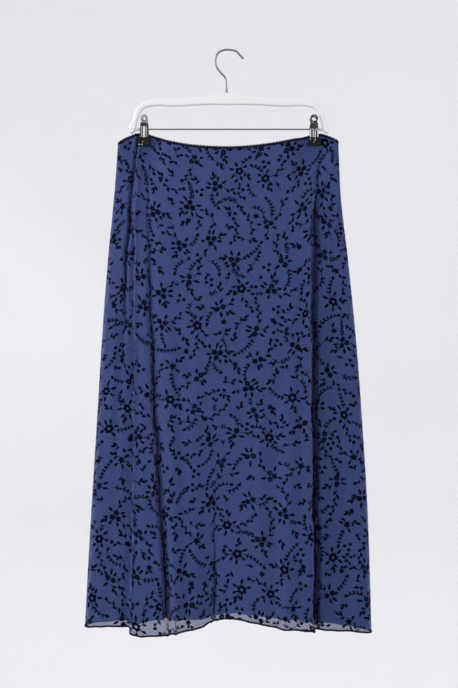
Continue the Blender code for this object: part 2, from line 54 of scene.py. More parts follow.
# Cloth walls and gaps of the solids, and the waist band's height
CLOTH_WALL = 0.0010
LINING_WALL = 0.0010
SEAM_GAP = 0.0003
HALF_STACK = SEAM_GAP / 2 + LINING_WALL + SEAM_GAP + CLOTH_WALL
BAND_HEIGHT = 0.0026

# Meshes: how near points are merged, how squarely a face looks in a direction or lies flat in it, and below what
# length a cross product is too weak
MERGE_DISTANCE = 0.00001
FACING_SHARE = 0.9
FLAT_SHARE = 0.99
WEAK_CROSS = 0.2

# Side outline and depth: height, left edge, right edge, side turn, front belly, centre panel's step, back belly
OUTLINE = (
    (-0.160, -0.1931, 0.1905, 0.0055, 0.0060, 0.0010, 0.0060),
    (-0.260, -0.2006, 0.1953, 0.0070, 0.0090, 0.0050, 0.0080),
    (-0.365, -0.2110, 0.2075, 0.0085, 0.0110, 0.0100, 0.0100),
    (-0.505, -0.2215, 0.2215, 0.0100, 0.0120, 0.0140, 0.0120),
    (-0.645, -0.2300, 0.2320, 0.0110, 0.0130, 0.0170, 0.0130),
    (-0.785, -0.2389, 0.2407, 0.0120, 0.0140, 0.0200, 0.0150),
    (-0.925, -0.2470, 0.2459, 0.0130, 0.0150, 0.0220, 0.0160),
    (-1.015, -0.2516, 0.2484, 0.0135, 0.0160, 0.0230, 0.0170),
)

# Waist edge, front and back alike: distance across, height
WAIST_EDGE = (
    (-0.1931, -0.1618),
    (-0.1780, -0.1530),
    (-0.1561, -0.1456),
    (-0.1369, -0.1489),
    (-0.1087, -0.1585),
    (-0.0614, -0.1672),
    (0.0000, -0.1704),
    (0.0401, -0.1678),
    (0.0795, -0.1625),
    (0.1245, -0.1535),
    (0.1560, -0.1464),
    (0.1727, -0.1503),
    (0.1905, -0.1590),
)

# Hem edges: distance across, height
FRONT_HEM = (
    (-0.2512, -1.0014),
    (-0.1760, -0.9980),
    (-0.1640, -1.0050),
    (-0.1460, -1.0075),
    (-0.1060, -1.0040),
    (-0.0750, -0.9975),
    (-0.0450, -0.9900),
    (-0.0240, -0.9785),
    (0.0100, -0.9765),
    (0.0500, -0.9845),
    (0.1000, -0.9945),
    (0.1400, -0.9985),
    (0.1650, -1.0035),
    (0.2090, -1.0065),
    (0.2484, -1.0118),
)
BACK_HEM = (
    (-0.2512, -1.0014),
    (-0.1200, -0.9930),
    (0.0000, -0.9850),
    (0.1200, -0.9950),
    (0.2484, -1.0118),
)

# How far the lining ends above the hem: distance across, front, back
LINING_LIFT = (
    (-0.2512, 0.0100, 0.0100),
    (-0.1750, 0.0110, 0.0120),
    (-0.1400, 0.0260, 0.0150),
    (-0.0700, 0.0180, 0.0130),
    (-0.0200, 0.0080, 0.0110),
    (0.0300, 0.0110, 0.0120),
    (0.1200, 0.0160, 0.0140),
    (0.1700, 0.0120, 0.0120),
    (0.2484, 0.0100, 0.0100),
)

# The lining is a little narrower than the outer cloth below the hips: left and right, and where it narrows
LINING_INSET = (0.0040, 0.0018)
LINING_NARROWS = (-0.450, -0.260)

# Folds: how far across each line lies at six heights
FOLD_HEIGHTS = (-0.160, -0.280, -0.420, -0.600, -0.800, -1.010)
FRONT_LINES = {
    "left_outer": (-0.1620, -0.1720, -0.1790, -0.1840, -0.1880, -0.1920),
    "outer_pleat": (-0.1592, -0.1726, -0.1798, -0.1840, -0.1880, -0.1920),
    "step_left": (-0.1500, -0.1600, -0.1610, -0.1610, -0.1630, -0.1680),
    "left_valley": (-0.1360, -0.1400, -0.1362, -0.1292, -0.1178, -0.1040),
    "left_roll": (-0.1120, -0.1100, -0.1060, -0.1010, -0.0940, -0.0880),
    "centre_hollow": (-0.0180, -0.0180, -0.0180, -0.0180, -0.0180, -0.0180),
    "centre_crease": (-0.0200, -0.0210, -0.0220, -0.0230, -0.0235, -0.0260),
    "soft_roll": (0.1020, 0.1050, 0.1080, 0.1060, 0.1010, 0.0960),
    "right_fold": (0.1565, 0.1486, 0.1446, 0.1446, 0.1462, 0.1482),
    "right_outer": (0.1760, 0.1720, 0.1830, 0.1860, 0.1900, 0.1950),
}
BACK_LINES = {
    "back_left": (-0.1500, -0.1500, -0.1480, -0.1460, -0.1430, -0.1400),
    "back_left_roll": (-0.0620, -0.0610, -0.0600, -0.0590, -0.0570, -0.0550),
    "back_middle": (0.0300, 0.0300, 0.0310, 0.0320, 0.0330, 0.0350),
    "back_right": (0.1520, 0.1500, 0.1480, 0.1480, 0.1500, 0.1520),
}

# Folds: reach to the left and right of the line, then the rise (or fall, when negative) at the six heights
FRONT_FOLDS = {
    "left_outer": (0.0060, 0.0060, (0.0, -0.0040, -0.0020, 0.0, 0.0, 0.0)),
    "left_valley": (0.0050, 0.0170, (0.0, -0.0010, -0.0040, -0.0075, -0.0105, -0.0130)),
    "left_roll": (0.0140, 0.0180, (0.0, 0.0, 0.0010, 0.0030, 0.0050, 0.0070)),
    "centre_hollow": (0.0450, 0.0500, (0.0, 0.0, 0.0, 0.0, -0.0030, -0.0100)),
    "centre_crease": (0.0050, 0.0060, (0.0, 0.0, 0.0, 0.0, -0.0006, -0.0050)),
    "soft_roll": (0.0180, 0.0180, (0.0, 0.0, 0.0010, 0.0030, 0.0040, 0.0060)),
    "right_fold": (0.0060, 0.0115, (-0.0006, -0.0050, -0.0120, -0.0130, -0.0140, -0.0150)),
    "right_outer": (0.0050, 0.0070, (0.0, -0.0015, -0.0015, 0.0, 0.0, 0.0)),
}
BACK_FOLDS = {
    "back_left": (0.0120, 0.0180, (0.0, -0.0030, -0.0050, -0.0070, -0.0090, -0.0110)),
    "back_left_roll": (0.0300, 0.0300, (0.0, 0.0, 0.0010, 0.0030, 0.0050, 0.0070)),
    "back_middle": (0.0220, 0.0300, (0.0, 0.0, -0.0010, -0.0030, -0.0050, -0.0080)),
    "back_right": (0.0180, 0.0120, (0.0, -0.0040, -0.0060, -0.0080, -0.0100, -0.0120)),
}
STEP_REACH = 0.0045
LEFT_STEP_WALL = (-0.0042, -0.0008)
RIGHT_STEP_WALL = (-0.0030, 0.0002)

# Sharper creases along the folds: line, offset from it, reach left and right, rise at the six heights
FRONT_SHARP_CREASES = (
    ("outer_pleat", 0.0000, 0.0020, 0.0028, (-0.0100, -0.0110, -0.0030, 0.0, 0.0, 0.0)),
    ("outer_pleat", 0.0048, 0.0034, 0.0130, (0.0046, 0.0044, 0.0014, 0.0, 0.0, 0.0)),
    ("outer_pleat", -0.0040, 0.0100, 0.0030, (0.0024, 0.0024, 0.0008, 0.0, 0.0, 0.0)),
    ("step_left", -0.0004, 0.0018, 0.0034, (0.0004, 0.0012, 0.0014, 0.0014, 0.0014, 0.0014)),
    ("left_valley", 0.0000, 0.0022, 0.0034, (0.0, -0.0020, -0.0046, -0.0070, -0.0095, -0.0110)),
    ("left_valley", 0.0120, 0.0070, 0.0090, (0.0, 0.0002, 0.0006, 0.0010, 0.0014, 0.0014)),
    ("centre_crease", -0.0004, 0.0016, 0.0024, (0.0, 0.0, 0.0, 0.0, -0.0012, -0.0064)),
    ("right_fold", -0.0044, 0.0050, 0.0020, (0.0002, 0.0006, 0.0010, 0.0012, 0.0012, 0.0012)),
    ("right_fold", 0.0004, 0.0022, 0.0034, (-0.0010, -0.0040, -0.0120, -0.0140, -0.0140, -0.0130)),
)
LINE_WAVES = ((0.083, 0.0007), (0.171, 0.0011))

# Where a clip holds the cloth flat: its large folds, then the narrow creases beside the pads
PINCH_ACROSS = (0.0200, 0.0400)
PINCH_DOWN = (0.0260, 0.1100)
GRIP_ACROSS = (0.0098, 0.0118)
GRIP_DOWN = (0.0160, 0.0300)
CREASE_FLOOR = 0.0012

# How much lower the hem hangs for each metre that a fold lies behind the cloth beside it
HEM_SAG = 0.30

# Finer columns of the shells: the fold groups from left to right, and the columns across each
FRONT_GROUPS = {
    "turn_left": 10,
    "left_outer": 18,
    "step_left": 12,
    "left_valley": 24,
    "left_roll": 0,
    "centre_crease": 14,
    "soft_roll": 8,
    "right_fold": 24,
    "right_outer": 10,
    "turn_right": 10,
}
BACK_GROUPS = {
    "turn_left": 10,
    "back_left": 14,
    "back_left_roll": 14,
    "back_middle": 14,
    "back_right": 14,
    "turn_right": 10,
}
COLUMN_SPACING = 0.0038
SHELL_ROWS = 140
EVEN_ROWS = 24
READ_HEIGHTS = np.linspace(-1.020, -0.140, 177)

# Small soft creases: place across at the waist and at the hem, highest, lowest, reach, rise
FRONT_CREASES = (
    (-0.1810, -0.2250, -0.190, -0.640, 0.0100, 0.0012),
    (-0.1700, -0.2100, -0.420, -1.020, 0.0120, -0.0016),
    (-0.1440, -0.1480, -0.330, -1.020, 0.0090, 0.0014),
    (-0.0960, -0.0720, -0.180, -0.700, 0.0120, -0.0010),
    (-0.0640, -0.0560, -0.520, -1.020, 0.0130, 0.0018),
    (-0.0400, -0.0420, -0.160, -0.420, 0.0110, 0.0008),
    (0.0180, 0.0220, -0.240, -0.860, 0.0150, -0.0009),
    (0.0420, 0.0560, -0.620, -1.020, 0.0140, 0.0020),
    (0.0700, 0.0780, -0.160, -0.560, 0.0120, 0.0008),
    (0.0820, 0.0760, -0.560, -1.020, 0.0100, -0.0016),
    (0.1200, 0.1240, -0.200, -0.760, 0.0100, -0.0014),
    (0.1380, 0.1330, -0.640, -1.020, 0.0080, 0.0014),
    (0.1700, 0.2140, -0.380, -1.020, 0.0120, 0.0018),
    (0.1780, 0.2300, -0.180, -0.820, 0.0090, -0.0010),
)
BACK_CREASES = (
    (-0.1740, -0.2180, -0.240, -0.900, 0.0120, 0.0014),
    (-0.1180, -0.1040, -0.180, -0.640, 0.0130, -0.0010),
    (-0.0900, -0.0940, -0.520, -1.020, 0.0120, 0.0016),
    (-0.0220, -0.0180, -0.300, -1.020, 0.0150, 0.0014),
    (0.0700, 0.0860, -0.180, -0.760, 0.0140, 0.0010),
    (0.0980, 0.1040, -0.480, -1.020, 0.0110, -0.0014),
    (0.1760, 0.2160, -0.260, -1.020, 0.0120, 0.0016),
)
CREASE_FADE = 0.090

# Waves laid over the cloth: length of a wave across, its swell, where it starts along the cloth
HEM_WAVES = ((0.0310, 0.0011, 0.3), (0.0190, 0.0006, 1.9), (0.0530, 0.0012, 4.1))
HEM_WAVE_FADE = 0.045
WAIST_PUCKERS = ((0.0074, 0.00022, 0.0), (0.0117, 0.00016, 1.3))
WAIST_PUCKER_FADE = 0.022

# The waves start at this distance from the side seams, and stop where the cloth turns away from the front
WAVE_RIM = (0.004, 0.020)
WAVE_FACING = (0.55, 0.90)

# Waist elastic: its section as distance out from the cloth's face and height above the band's foot
BAND_SECTION = (
    (0.00045, -0.0006),
    (0.00085, 0.0003),
    (0.00085, 0.0017),
    (0.00050, 0.0024),
    (-0.00060, 0.0026),
    (-0.00200, 0.0024),
    (-0.00225, 0.0017),
    (-0.00225, 0.0003),
    (-0.00190, -0.0006),
    (-0.00080, -0.0009),
)
PICOT_FOOT = 0.0020
PICOT_LENGTH = 0.0058
PICOT_RISE = (0.0, 0.0011, 0.0019, 0.0022, 0.0019, 0.0011)

# Hem and side seams: how far they sink in, the step along the hem, and the stitches' swell and spacing
HEM_SINK = 0.0002
HEM_STEP = 0.0022
HEM_STITCHES = (0.14, 1.9)
SEAM_SINK = 0.0003
SEAM_STITCHES = (0.12, 2.3)

# Hanger
HANGER_MIDDLE = 0.0005
HANGER_DEPTH = 0.0090
HANGER_ROUND = 0.0024
HANGER_UPPER = (
    (0.0200, -0.0745),
    (0.0340, -0.0795),
    (0.0600, -0.0825),
    (0.1300, -0.0860),
    (0.1523, -0.0925),
    (0.1630, -0.1032),
    (0.1674, -0.1189),
    (0.1742, -0.1399),
    (0.1700, -0.1440),
)
HANGER_LOWER = (
    (0.1650, -0.1405),
    (0.1587, -0.1189),
    (0.1507, -0.1032),
    (0.1420, -0.0985),
    (0.0900, -0.0970),
    (0.0400, -0.0945),
)
HANGER_TOP = -0.0737
BAR_HEIGHT = -0.1369
BOSS_RADIUS = 0.0030
BOSS_HALF_SPAN = (0.1575, 0.1660)
BOSS_ROUND = 0.0007
HOOK_WIRE_RADIUS = 0.00175
HOOK_FOOT = -0.0860
HOOK_ROUTE = (
    (-0.0045, HOOK_FOOT),
    (-0.0045, -0.0740),
    (-0.0046, -0.0600),
    (-0.0060, -0.0480),
    (-0.0150, -0.0375),
    (-0.0220, -0.0270),
    (-0.0236, -0.0160),
    (-0.0200, -0.0052),
    (-0.0110, 0.0008),
    (0.0000, 0.00175),
    (0.0125, -0.0008),
    (0.0192, -0.0078),
    (0.0250, -0.0140),
)
HOOK_STEPS = 120

# The wire's widths at the hook's tip, and the short sleeve at its foot
HOOK_BALL = (1.12, 1.28, 1.22, 0.70)
HOOK_SLEEVE = (-0.0755, -0.0640)
HOOK_SLEEVE_RADIUS = 0.0024
HOOK_SLEEVE_ROUND = 0.0006

# Clips
CLIP_PLACES = {"left": -0.1475, "right": 0.1481}
PAD_TOP = -0.1519
PAD_HEIGHT = 0.0148
PAD_THICKNESS = 0.0030
PAD_HALF_WIDTHS = {"left": (0.0108, 0.0110), "right": (0.0100, 0.0124)}
FIT_GAP = 0.0003
PAD_INNER = HALF_STACK + FIT_GAP
PLATE_THICKNESS = 0.0012
PLATE_INNER = PAD_INNER + PAD_THICKNESS + FIT_GAP
PLATE_TOP = -0.1262
PLATE_FOOT = -0.1600
PLATE_HALF_WIDTHS = (0.0066, 0.0080)
RING_CENTRE = -0.1190
RING_RADIUS = 0.0056
RING_WIRE = 0.0013
SPRING_HALF_LENGTH = 0.0062
SPRING_RADIUS = PLATE_INNER - FIT_GAP
SPRING_WIRE = 0.00075
SPRING_TURNS = 7
SPRING_TURN_STEPS = 20
PLATE_FACE = PLATE_INNER + PLATE_THICKNESS
PLATE_ROUND = 0.0004
PAD_WRAP = 0.0012
PAD_ROUND = 0.0008

# Halves of a clip: name, and which way along Y it looks
FACINGS = (("front", -1.0), ("back", 1.0))

# The pads' sunk front: its rim and depth
PAD_PANEL = (0.0012, 0.0004)

# The left clips' ribs: place across, radius, whether polished; the others get a darker steel, painted shade for their
# dimmer reflection. The height at which they start
LEFT_RIBS = ((0.0003, 0.0016, True), (-0.0040, 0.0012, False), (0.0042, 0.0011, False))
LEFT_RIB_TOP = -0.1325
RIB_FLATTENING = 0.62
RIB_ROUND = 0.6
RIB_FOOT = PAD_TOP - 0.0010

# The right clips' ribs, each bent from wire like an upturned U: places across, half width, wire, top of the bend
RIGHT_RIBS = (-0.0041, 0.0039)
RIGHT_RIB_HALF = 0.0022
RIGHT_RIB_WIRE = 0.0008
RIGHT_RIB_TOP = -0.1376
RIGHT_RIB_RISE = 0.4
RIGHT_RIB_BEND_STEPS = 17

# The left clips' flat washer and the curled end of the wire inside it
WASHER_OUTER = 0.0069
WASHER_RIM = 0.0022
WASHER_ROUND = 0.0004
CURL_CENTRE = -0.1203
CURL_RADIUS = 0.0037
CURL_WIRE = 0.00075
CURL_START = 0.95
CURL_SWEEP = 5.25
CURL_STEPS = 48
CURL_TIP = 0.5

# Metal points that show on the pads: place across, height, half width, half height
PAD_POINTS = {
    "left": (
        (-0.0087, -0.1648, 0.0013, 0.0012),
        (-0.0037, -0.1646, 0.0013, 0.0011),
        (-0.0020, -0.1600, 0.0008, 0.0010),
    ),
    "right": (
        (0.0012, -0.1563, 0.0010, 0.0018),
        (-0.0068, -0.1560, 0.0009, 0.0012),
        (-0.0007, -0.1606, 0.0007, 0.0012),
    ),
}
PAD_POINT_DEPTH = 0.0007

# Panels: whether it is the front one, and its name
SIDES = ((True, "front"), (False, "back"))

# Camera: where it stands and its lens on a 36 mm sensor
CAMERA_PLACE = (0.0, -1.70, -0.5113)
CAMERA_LENS = 51.0
CAMERA_SENSOR = 36.0

# Lights: place, size, and which of the stage's powers each has
LIGHTS = {
    "key_light": ((-2.7, -1.05, 0.6), (1.4, 2.4), "key_power"),
    "fill_light": ((1.9, -2.3, 0.9), (2.0, 2.0), "fill_power"),
    "back_light": ((0.8, 2.7, 0.8), (2.4, 2.0), "fill_power"),
}

# Studio wall: the round corner at the floor, its steps, and how high the wall stands
WALL_CORNER = 0.9
WALL_CORNER_STEPS = 12
WALL_HEIGHT = 4.95


def read_table(keys, values, at):
    """Reads a table at every key asked for, on a smooth curve through its values. Keys may rise or fall."""
    keys = np.asarray(keys, float)
    values = np.asarray(values, float)
    if keys[0] > keys[-1]:
        keys = keys[::-1]
        values = values[::-1]
    order = np.arange(len(keys))
    low = np.maximum(order - 1, 0)
    high = np.minimum(order + 1, len(keys) - 1)
    slopes = (values[high] - values[low]) / (keys[high] - keys[low])
    at = np.clip(at, keys[0], keys[-1])
    place = np.clip(np.searchsorted(keys, at) - 1, 0, len(keys) - 2)
    span = keys[place + 1] - keys[place]
    t = (at - keys[place]) / span
    value = (2 * t**3 - 3 * t**2 + 1) * values[place] + (t**3 - 2 * t**2 + t) * slopes[place] * span
    return value + (3 * t**2 - 2 * t**3) * values[place + 1] + (t**3 - t**2) * slopes[place + 1] * span


def lengths_along(points):
    """How far each point lies along a line of points."""
    return np.concatenate([[0.0], np.cumsum(np.linalg.norm(np.diff(points, axis=0), axis=1))])


def read_rows(at, keys, rows):
    """Reads every column of a table of rows at the keys asked for."""
    return np.stack([np.interp(at, keys, column) for column in rows.T], axis=1)


def pair_up(first, second):
    """Pairs of two arrays' values, spread over each other."""
    return np.stack(np.broadcast_arrays(first, second), axis=-1)


def step_from(place, heading, reach):
    """The flat place that lies a reach away along a heading."""
    return (place[0] + reach * math.cos(heading), place[1] + reach * math.sin(heading))


def column_of(table, column):
    """One column of a table."""
    return [row[column] for row in table]


def smooth_step(low, high, value):
    """0 below low, 1 above high, and a soft change between."""
    share = np.clip((value - low) / (high - low), 0.0, 1.0)
    return share * share * (3.0 - 2.0 * share)


def outline_at(height):
    """Left edge, right edge, side turn, front belly, centre step and back belly at each height."""
    heights = column_of(OUTLINE, 0)
    return [read_table(heights, column_of(OUTLINE, column), height) for column in range(1, 7)]


def edge_height(table, across, column=1):
    """The height of a waist or hem edge, or a lift, at each place across the skirt."""
    return read_table(column_of(table, 0), column_of(table, column), across)


def fold_shape(offset, reach_left, reach_right):
    """A fold's cross-section: 1 on its line, 0 from its reaches on."""
    share = np.clip(offset / np.where(offset > 0, reach_right, reach_left), -1.0, 1.0)
    return (1.0 - share * share) ** 2


def fold_line(lines, name, height):
    """Where a fold's line lies across at each height, with the slight wander of hanging cloth."""
    line = read_table(FOLD_HEIGHTS, lines[name], height)
    start = lines[name][-1] * 100.0
    for length, swing in LINE_WAVES:
        line = line + swing * np.sin(height * math.tau / length + start)
    return line


def pinch(across, height, reach_across=PINCH_ACROSS, reach_down=PINCH_DOWN):
    """1 where a clip holds the cloth flat, falling to 0 away from it."""
    below_waist = edge_height(WAIST_EDGE, across) - height
    hold = np.zeros_like(across)
    for place in CLIP_PLACES.values():
        sideways = 1.0 - smooth_step(*reach_across, np.abs(across - place))
        hold = np.maximum(hold, sideways * (1.0 - smooth_step(*reach_down, below_waist)))
    return hold


def crease_lift(across, height, is_front):
    """The small creases' rise and fall at each place."""
    lift = np.zeros_like(across)
    for at_waist, at_hem, highest, lowest, reach, rise in FRONT_CREASES if is_front else BACK_CREASES:
        share = (height - OUTLINE[0][0]) / (OUTLINE[-1][0] - OUTLINE[0][0])
        line = at_waist + (at_hem - at_waist) * share
        fade = smooth_step(lowest - CREASE_FADE, lowest, height)
        fade *= 1.0 - smooth_step(highest - CREASE_FADE, highest, height)
        lift += rise * fade * fold_shape(across - line, reach, reach)
    return lift


def sharp_lift(across, height):
    """The rise and fall of the front's narrow creases, which the clips' pads hold flat."""
    lift = np.zeros_like(across)
    for name, offset, reach_left, reach_right, rises in FRONT_SHARP_CREASES:
        line = fold_line(FRONT_LINES, name, height) + offset
        lift += fold_shape(across - line, reach_left, reach_right) * read_table(FOLD_HEIGHTS, rises, height)
    return lift * (1.0 - pinch(across, height, GRIP_ACROSS, GRIP_DOWN))


def fold_lift(across, height, is_front):
    """The large folds' rise and fall at each place."""
    lift = np.zeros_like(across)
    for name, (reach_left, reach_right, rises) in (FRONT_FOLDS if is_front else BACK_FOLDS).items():
        line = fold_line(FRONT_LINES if is_front else BACK_LINES, name, height)
        lift += fold_shape(across - line, reach_left, reach_right) * read_table(FOLD_HEIGHTS, rises, height)
    return lift


def depth_at(across, height, is_front):
    """How far the cloth's outer face stands from the skirt's middle plane."""
    left, right, turn, belly, step, back_belly = outline_at(height)
    middle = (left + right) / 2
    share = (across - middle) / ((right - left) / 2)
    inward = np.minimum(across - left, right - across)
    rounding = np.sqrt(np.maximum(0.0, 1.0 - (1.0 - np.clip(inward / turn, 0.0, 1.0)) ** 2))
    depth = turn * rounding
    if is_front:
        depth += belly * (1.0 - share * share)
        step_left = fold_line(FRONT_LINES, "step_left", height)
        step_right = fold_line(FRONT_LINES, "right_fold", height)
        rise = smooth_step(*LEFT_STEP_WALL, across - step_left)
        fall = smooth_step(*RIGHT_STEP_WALL, across - step_right)
        depth += step * (rise - fall)
    else:
        depth += back_belly * (1.0 - share * share)
    depth += fold_lift(across, height, is_front)
    depth += crease_lift(across, height, is_front) * rounding
    depth = np.maximum(depth, HALF_STACK * rounding)
    depth += (HALF_STACK - depth) * pinch(across, height)
    if is_front:
        depth = np.maximum(depth + sharp_lift(across, height) * rounding, CREASE_FLOOR * rounding)
    return np.maximum(depth, SEAM_GAP / 2)


def group_columns(name, count, is_front):
    """The places across of one group of columns at every read height."""
    left, right, turn = outline_at(READ_HEIGHTS)[:3]
    if name in ("turn_left", "turn_right"):
        inward = 1.0 - np.cos(np.linspace(0.0, math.pi / 2, count + 1))
        if name == "turn_left":
            return [left + turn * value for value in inward]
        return [right - turn * value for value in inward[::-1]]
    line = fold_line(FRONT_LINES if is_front else BACK_LINES, name, READ_HEIGHTS)
    if not count:
        return [line]
    reaches = (STEP_REACH, STEP_REACH) if name == "step_left" else (FRONT_FOLDS if is_front else BACK_FOLDS)[name]
    return [line + share * reaches[1 if share > 0 else 0] for share in np.linspace(-1.0, 1.0, count + 1)]


def all_columns(is_front):
    """The places across of every column of a panel at every read height, from left to right."""
    places = []
    for name, count in (FRONT_GROUPS if is_front else BACK_GROUPS).items():
        group = group_columns(name, count, is_front)
        if places:
            start = places[-1]
            steps = max(1, round(float(np.max(group[0] - start)) / COLUMN_SPACING))
            places.extend(start + (group[0] - start) * step / steps for step in range(1, steps))
        places.extend(group)
    return np.array(places)


class Cloth:
    """One panel's points in rows from waist to hem, with its outward directions and its own flat measure."""

    def __init__(self, is_front, is_lining=False):
        columns = all_columns(is_front)
        top_columns = columns[:, -1]
        foot_columns = columns[:, 0]
        tops = edge_height(WAIST_EDGE, top_columns) - BAND_HEIGHT - SEAM_GAP
        feet = edge_height(FRONT_HEM if is_front else BACK_HEM, foot_columns)
        sunk = fold_lift(foot_columns, feet, is_front)
        if is_front:
            sunk += sharp_lift(foot_columns, feet)
        feet += HEM_SAG * np.minimum(sunk, 0.0)
        shares = np.linspace(0.0, 1.0, SHELL_ROWS + 1)[:, None]
        heights = tops + (feet - tops) * shares
        across = np.array([np.interp(heights[:, i], READ_HEIGHTS, column) for i, column in enumerate(columns)]).T
        side = -1.0 if is_front else 1.0
        self.points = np.stack([across, side * depth_at(across, heights, is_front), heights], axis=-1)
        self.measure()
        self.wave(tops, feet)
        if is_lining:
            self.lie_inside(side)
            lift = edge_height(LINING_LIFT, foot_columns, 1 if is_front else 2)
            self.shorten(1.0 - lift / (tops - feet))

    def lie_inside(self, side):
        """Moves the lining in behind the outer cloth, so that it comes through at no crease."""
        gap = CLOTH_WALL + SEAM_GAP
        across = np.maximum.accumulate(self.points[:, :, 0], axis=1)
        depth = side * self.points[:, :, 1]
        narrower = 1.0 - smooth_step(*LINING_NARROWS, self.points[:, :1, 2])
        left = across[:, :1] + gap + LINING_INSET[0] * narrower
        right = across[:, -1:] - gap - LINING_INSET[1] * narrower
        inner = left + (right - left) * (across - across[:, :1]) / (across[:, -1:] - across[:, :1])
        least = depth.copy()
        for row in range(len(depth)):
            near = [np.interp(inner[row] + shift, across[row], depth[row]) for shift in np.linspace(-gap, gap, 7)]
            least[row] = np.min(near, axis=0)
        turn = outline_at(self.points[:, :1, 2])[2] - gap
        inward = np.clip(np.minimum(inner - left, right - inner) / turn, 0.0, 1.0)
        rounding = np.sqrt(1.0 - (1.0 - inward) ** 2)
        self.points[:, :, 0] = inner
        self.points[:, :, 1] = side * ((least - gap) * rounding + SEAM_GAP / 2)
        self.measure()

    def shorten(self, ends):
        """Ends each column at its share of the way down."""
        rows = np.arange(SHELL_ROWS + 1)
        for i, end in enumerate(ends):
            self.points[:, i] = read_rows(rows * end, rows, self.points[:, i])
        self.measure()

    def measure(self):
        """Works out lengths along the cloth, evened out over nearby rows, and its outward directions."""
        steps = np.linalg.norm(np.diff(self.points, axis=1), axis=2)
        window = 2 * EVEN_ROWS + 1
        sums = np.cumsum(np.pad(steps, ((EVEN_ROWS + 1, EVEN_ROWS), (0, 0)), mode="edge"), axis=0)
        steps = (sums[window:] - sums[:-window]) / window
        lengths = np.concatenate([np.zeros((len(steps), 1)), np.cumsum(steps, axis=1)], axis=1)
        middle = [np.interp(0.0, row[:, 0], length) for row, length in zip(self.points, lengths)]
        self.across = lengths - np.array(middle)[:, None]
        drops = np.linalg.norm(np.diff(self.points, axis=0), axis=2).mean(axis=1)
        self.down = np.concatenate([[0.0], np.cumsum(drops)])
        side = np.gradient(self.points, axis=1)
        fall = np.gradient(self.points, axis=0)
        normals = np.cross(side, -fall)
        normals /= np.linalg.norm(normals, axis=2, keepdims=True)
        outward = -1.0 if self.points[0, len(side[0]) // 2, 1] < 0 else 1.0
        facing = np.sign(normals[0, len(side[0]) // 2, 1]) * outward
        self.normals = normals * facing

    def wave(self, tops, feet):
        """Adds the hem's waves and the small puckers under the elastic."""
        heights = self.points[:, :, 2]
        rim = np.minimum(self.across - self.across[:, :1], self.across[:, -1:] - self.across)
        calm = smooth_step(*WAVE_RIM, rim)
        calm *= 1.0 - pinch(self.points[:, :, 0], heights)
        near_hem = 1.0 - smooth_step(0.0, HEM_WAVE_FADE, heights - feet)
        near_waist = 1.0 - smooth_step(0.0, WAIST_PUCKER_FADE, tops - heights)
        swell = np.zeros_like(heights)
        for waves, near in ((HEM_WAVES, near_hem), (WAIST_PUCKERS, near_waist)):
            for length, rise, start in waves:
                swell += rise * near * np.sin(self.across * math.tau / length + start)
        calm *= smooth_step(*WAVE_FACING, np.abs(self.normals[:, :, 1]))
        flat = self.across
        self.points = self.points + self.normals * (swell * calm)[:, :, None]
        self.measure()
        self.across = flat

    def lay(self, across, down):
        """Points and outward directions at places on the cloth, given by its own flat measure."""
        row = np.clip(np.interp(down, self.down, np.arange(len(self.down))), 0, len(self.down) - 1.001)
        first = row.astype(int)
        share = (row - first)[:, None]
        found = [np.empty((len(across), 6)) for _ in range(2)]
        both = np.concatenate([self.points, self.normals], axis=2)
        for line in np.unique(first):
            chosen = first == line
            for half in range(2):
                found[half][chosen] = read_rows(across[chosen], self.across[line + half], both[line + half])
        mixed = found[0] * (1 - share) + found[1] * share
        return mixed[:, :3], mixed[:, 3:]

    def half_widths(self, down):
        """How far the cloth reaches to the left and right of its middle at each place down."""
        return np.interp(down, self.down, self.across[:, 0]), np.interp(down, self.down, self.across[:, -1])


def deselect_all():
    """Leaves nothing selected."""
    if bpy.context.object and bpy.context.object.mode != "OBJECT":
        bpy.ops.object.mode_set(mode="OBJECT")
    bpy.ops.object.select_all(action="DESELECT")


def make_active(piece):
    """Selects one piece alone."""
    deselect_all()
    bpy.context.view_layer.objects.active = piece
    piece.select_set(True)


def apply_place(piece):
    """Puts the piece's place, turn and size in its mesh."""
    make_active(piece)
    bpy.ops.object.transform_apply(location=True, rotation=True, scale=True)


def add_modifier(piece, kind, **settings):
    """Adds a modifier and applies it at once."""
    make_active(piece)
    modifier = piece.modifiers.new(kind.lower(), kind)
    for setting, value in settings.items():
        setattr(modifier, setting, value)
    bpy.ops.object.modifier_apply(modifier=modifier.name)


def edit_all(piece):
    """Edits one piece with all of its mesh selected."""
    make_active(piece)
    bpy.ops.object.mode_set(mode="EDIT")
    bpy.ops.mesh.select_all(action="SELECT")


def edit_faces(piece, direction, both_ways=False, least=FACING_SHARE):
    """Edits one piece with only the faces selected that look in a direction, or in its opposite too."""
    edit_all(piece)
    bpy.ops.mesh.select_mode(type="FACE")
    cage = bmesh.from_edit_mesh(piece.data)
    turned = ((face, face.normal.dot(direction)) for face in cage.faces)
    chosen = [face for face, share in turned if (abs(share) if both_ways else share) > least]
    for face in cage.faces:
        face.select_set(False)
    for face in chosen:
        face.select_set(True)
    bmesh.update_edit_mesh(piece.data)


def leave_edit():
    """Back to object mode."""
    bpy.ops.object.mode_set(mode="OBJECT")


def face_outwards(piece, merge=False):
    """Turns a piece's faces outwards, with its touching ends merged where it has any."""
    edit_all(piece)
    if merge:
        bpy.ops.mesh.remove_doubles(threshold=MERGE_DISTANCE)
    bpy.ops.mesh.normals_make_consistent(inside=False)
    leave_edit()


def finish_piece(piece, name, finish, replaced=(), smooth_angle=40.0):
    """Names a piece, shades it, gives its finish and lets it ride on the body."""
    apply_place(piece)
    bpy.ops.object.shade_smooth_by_angle(angle=math.radians(smooth_angle))
    piece.name = name
    piece.data.name = name
    piece.data.materials.clear()
    piece.data.materials.append(finish)
    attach(piece, "root")
    if replaced:
        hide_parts(*replaced)
    return piece


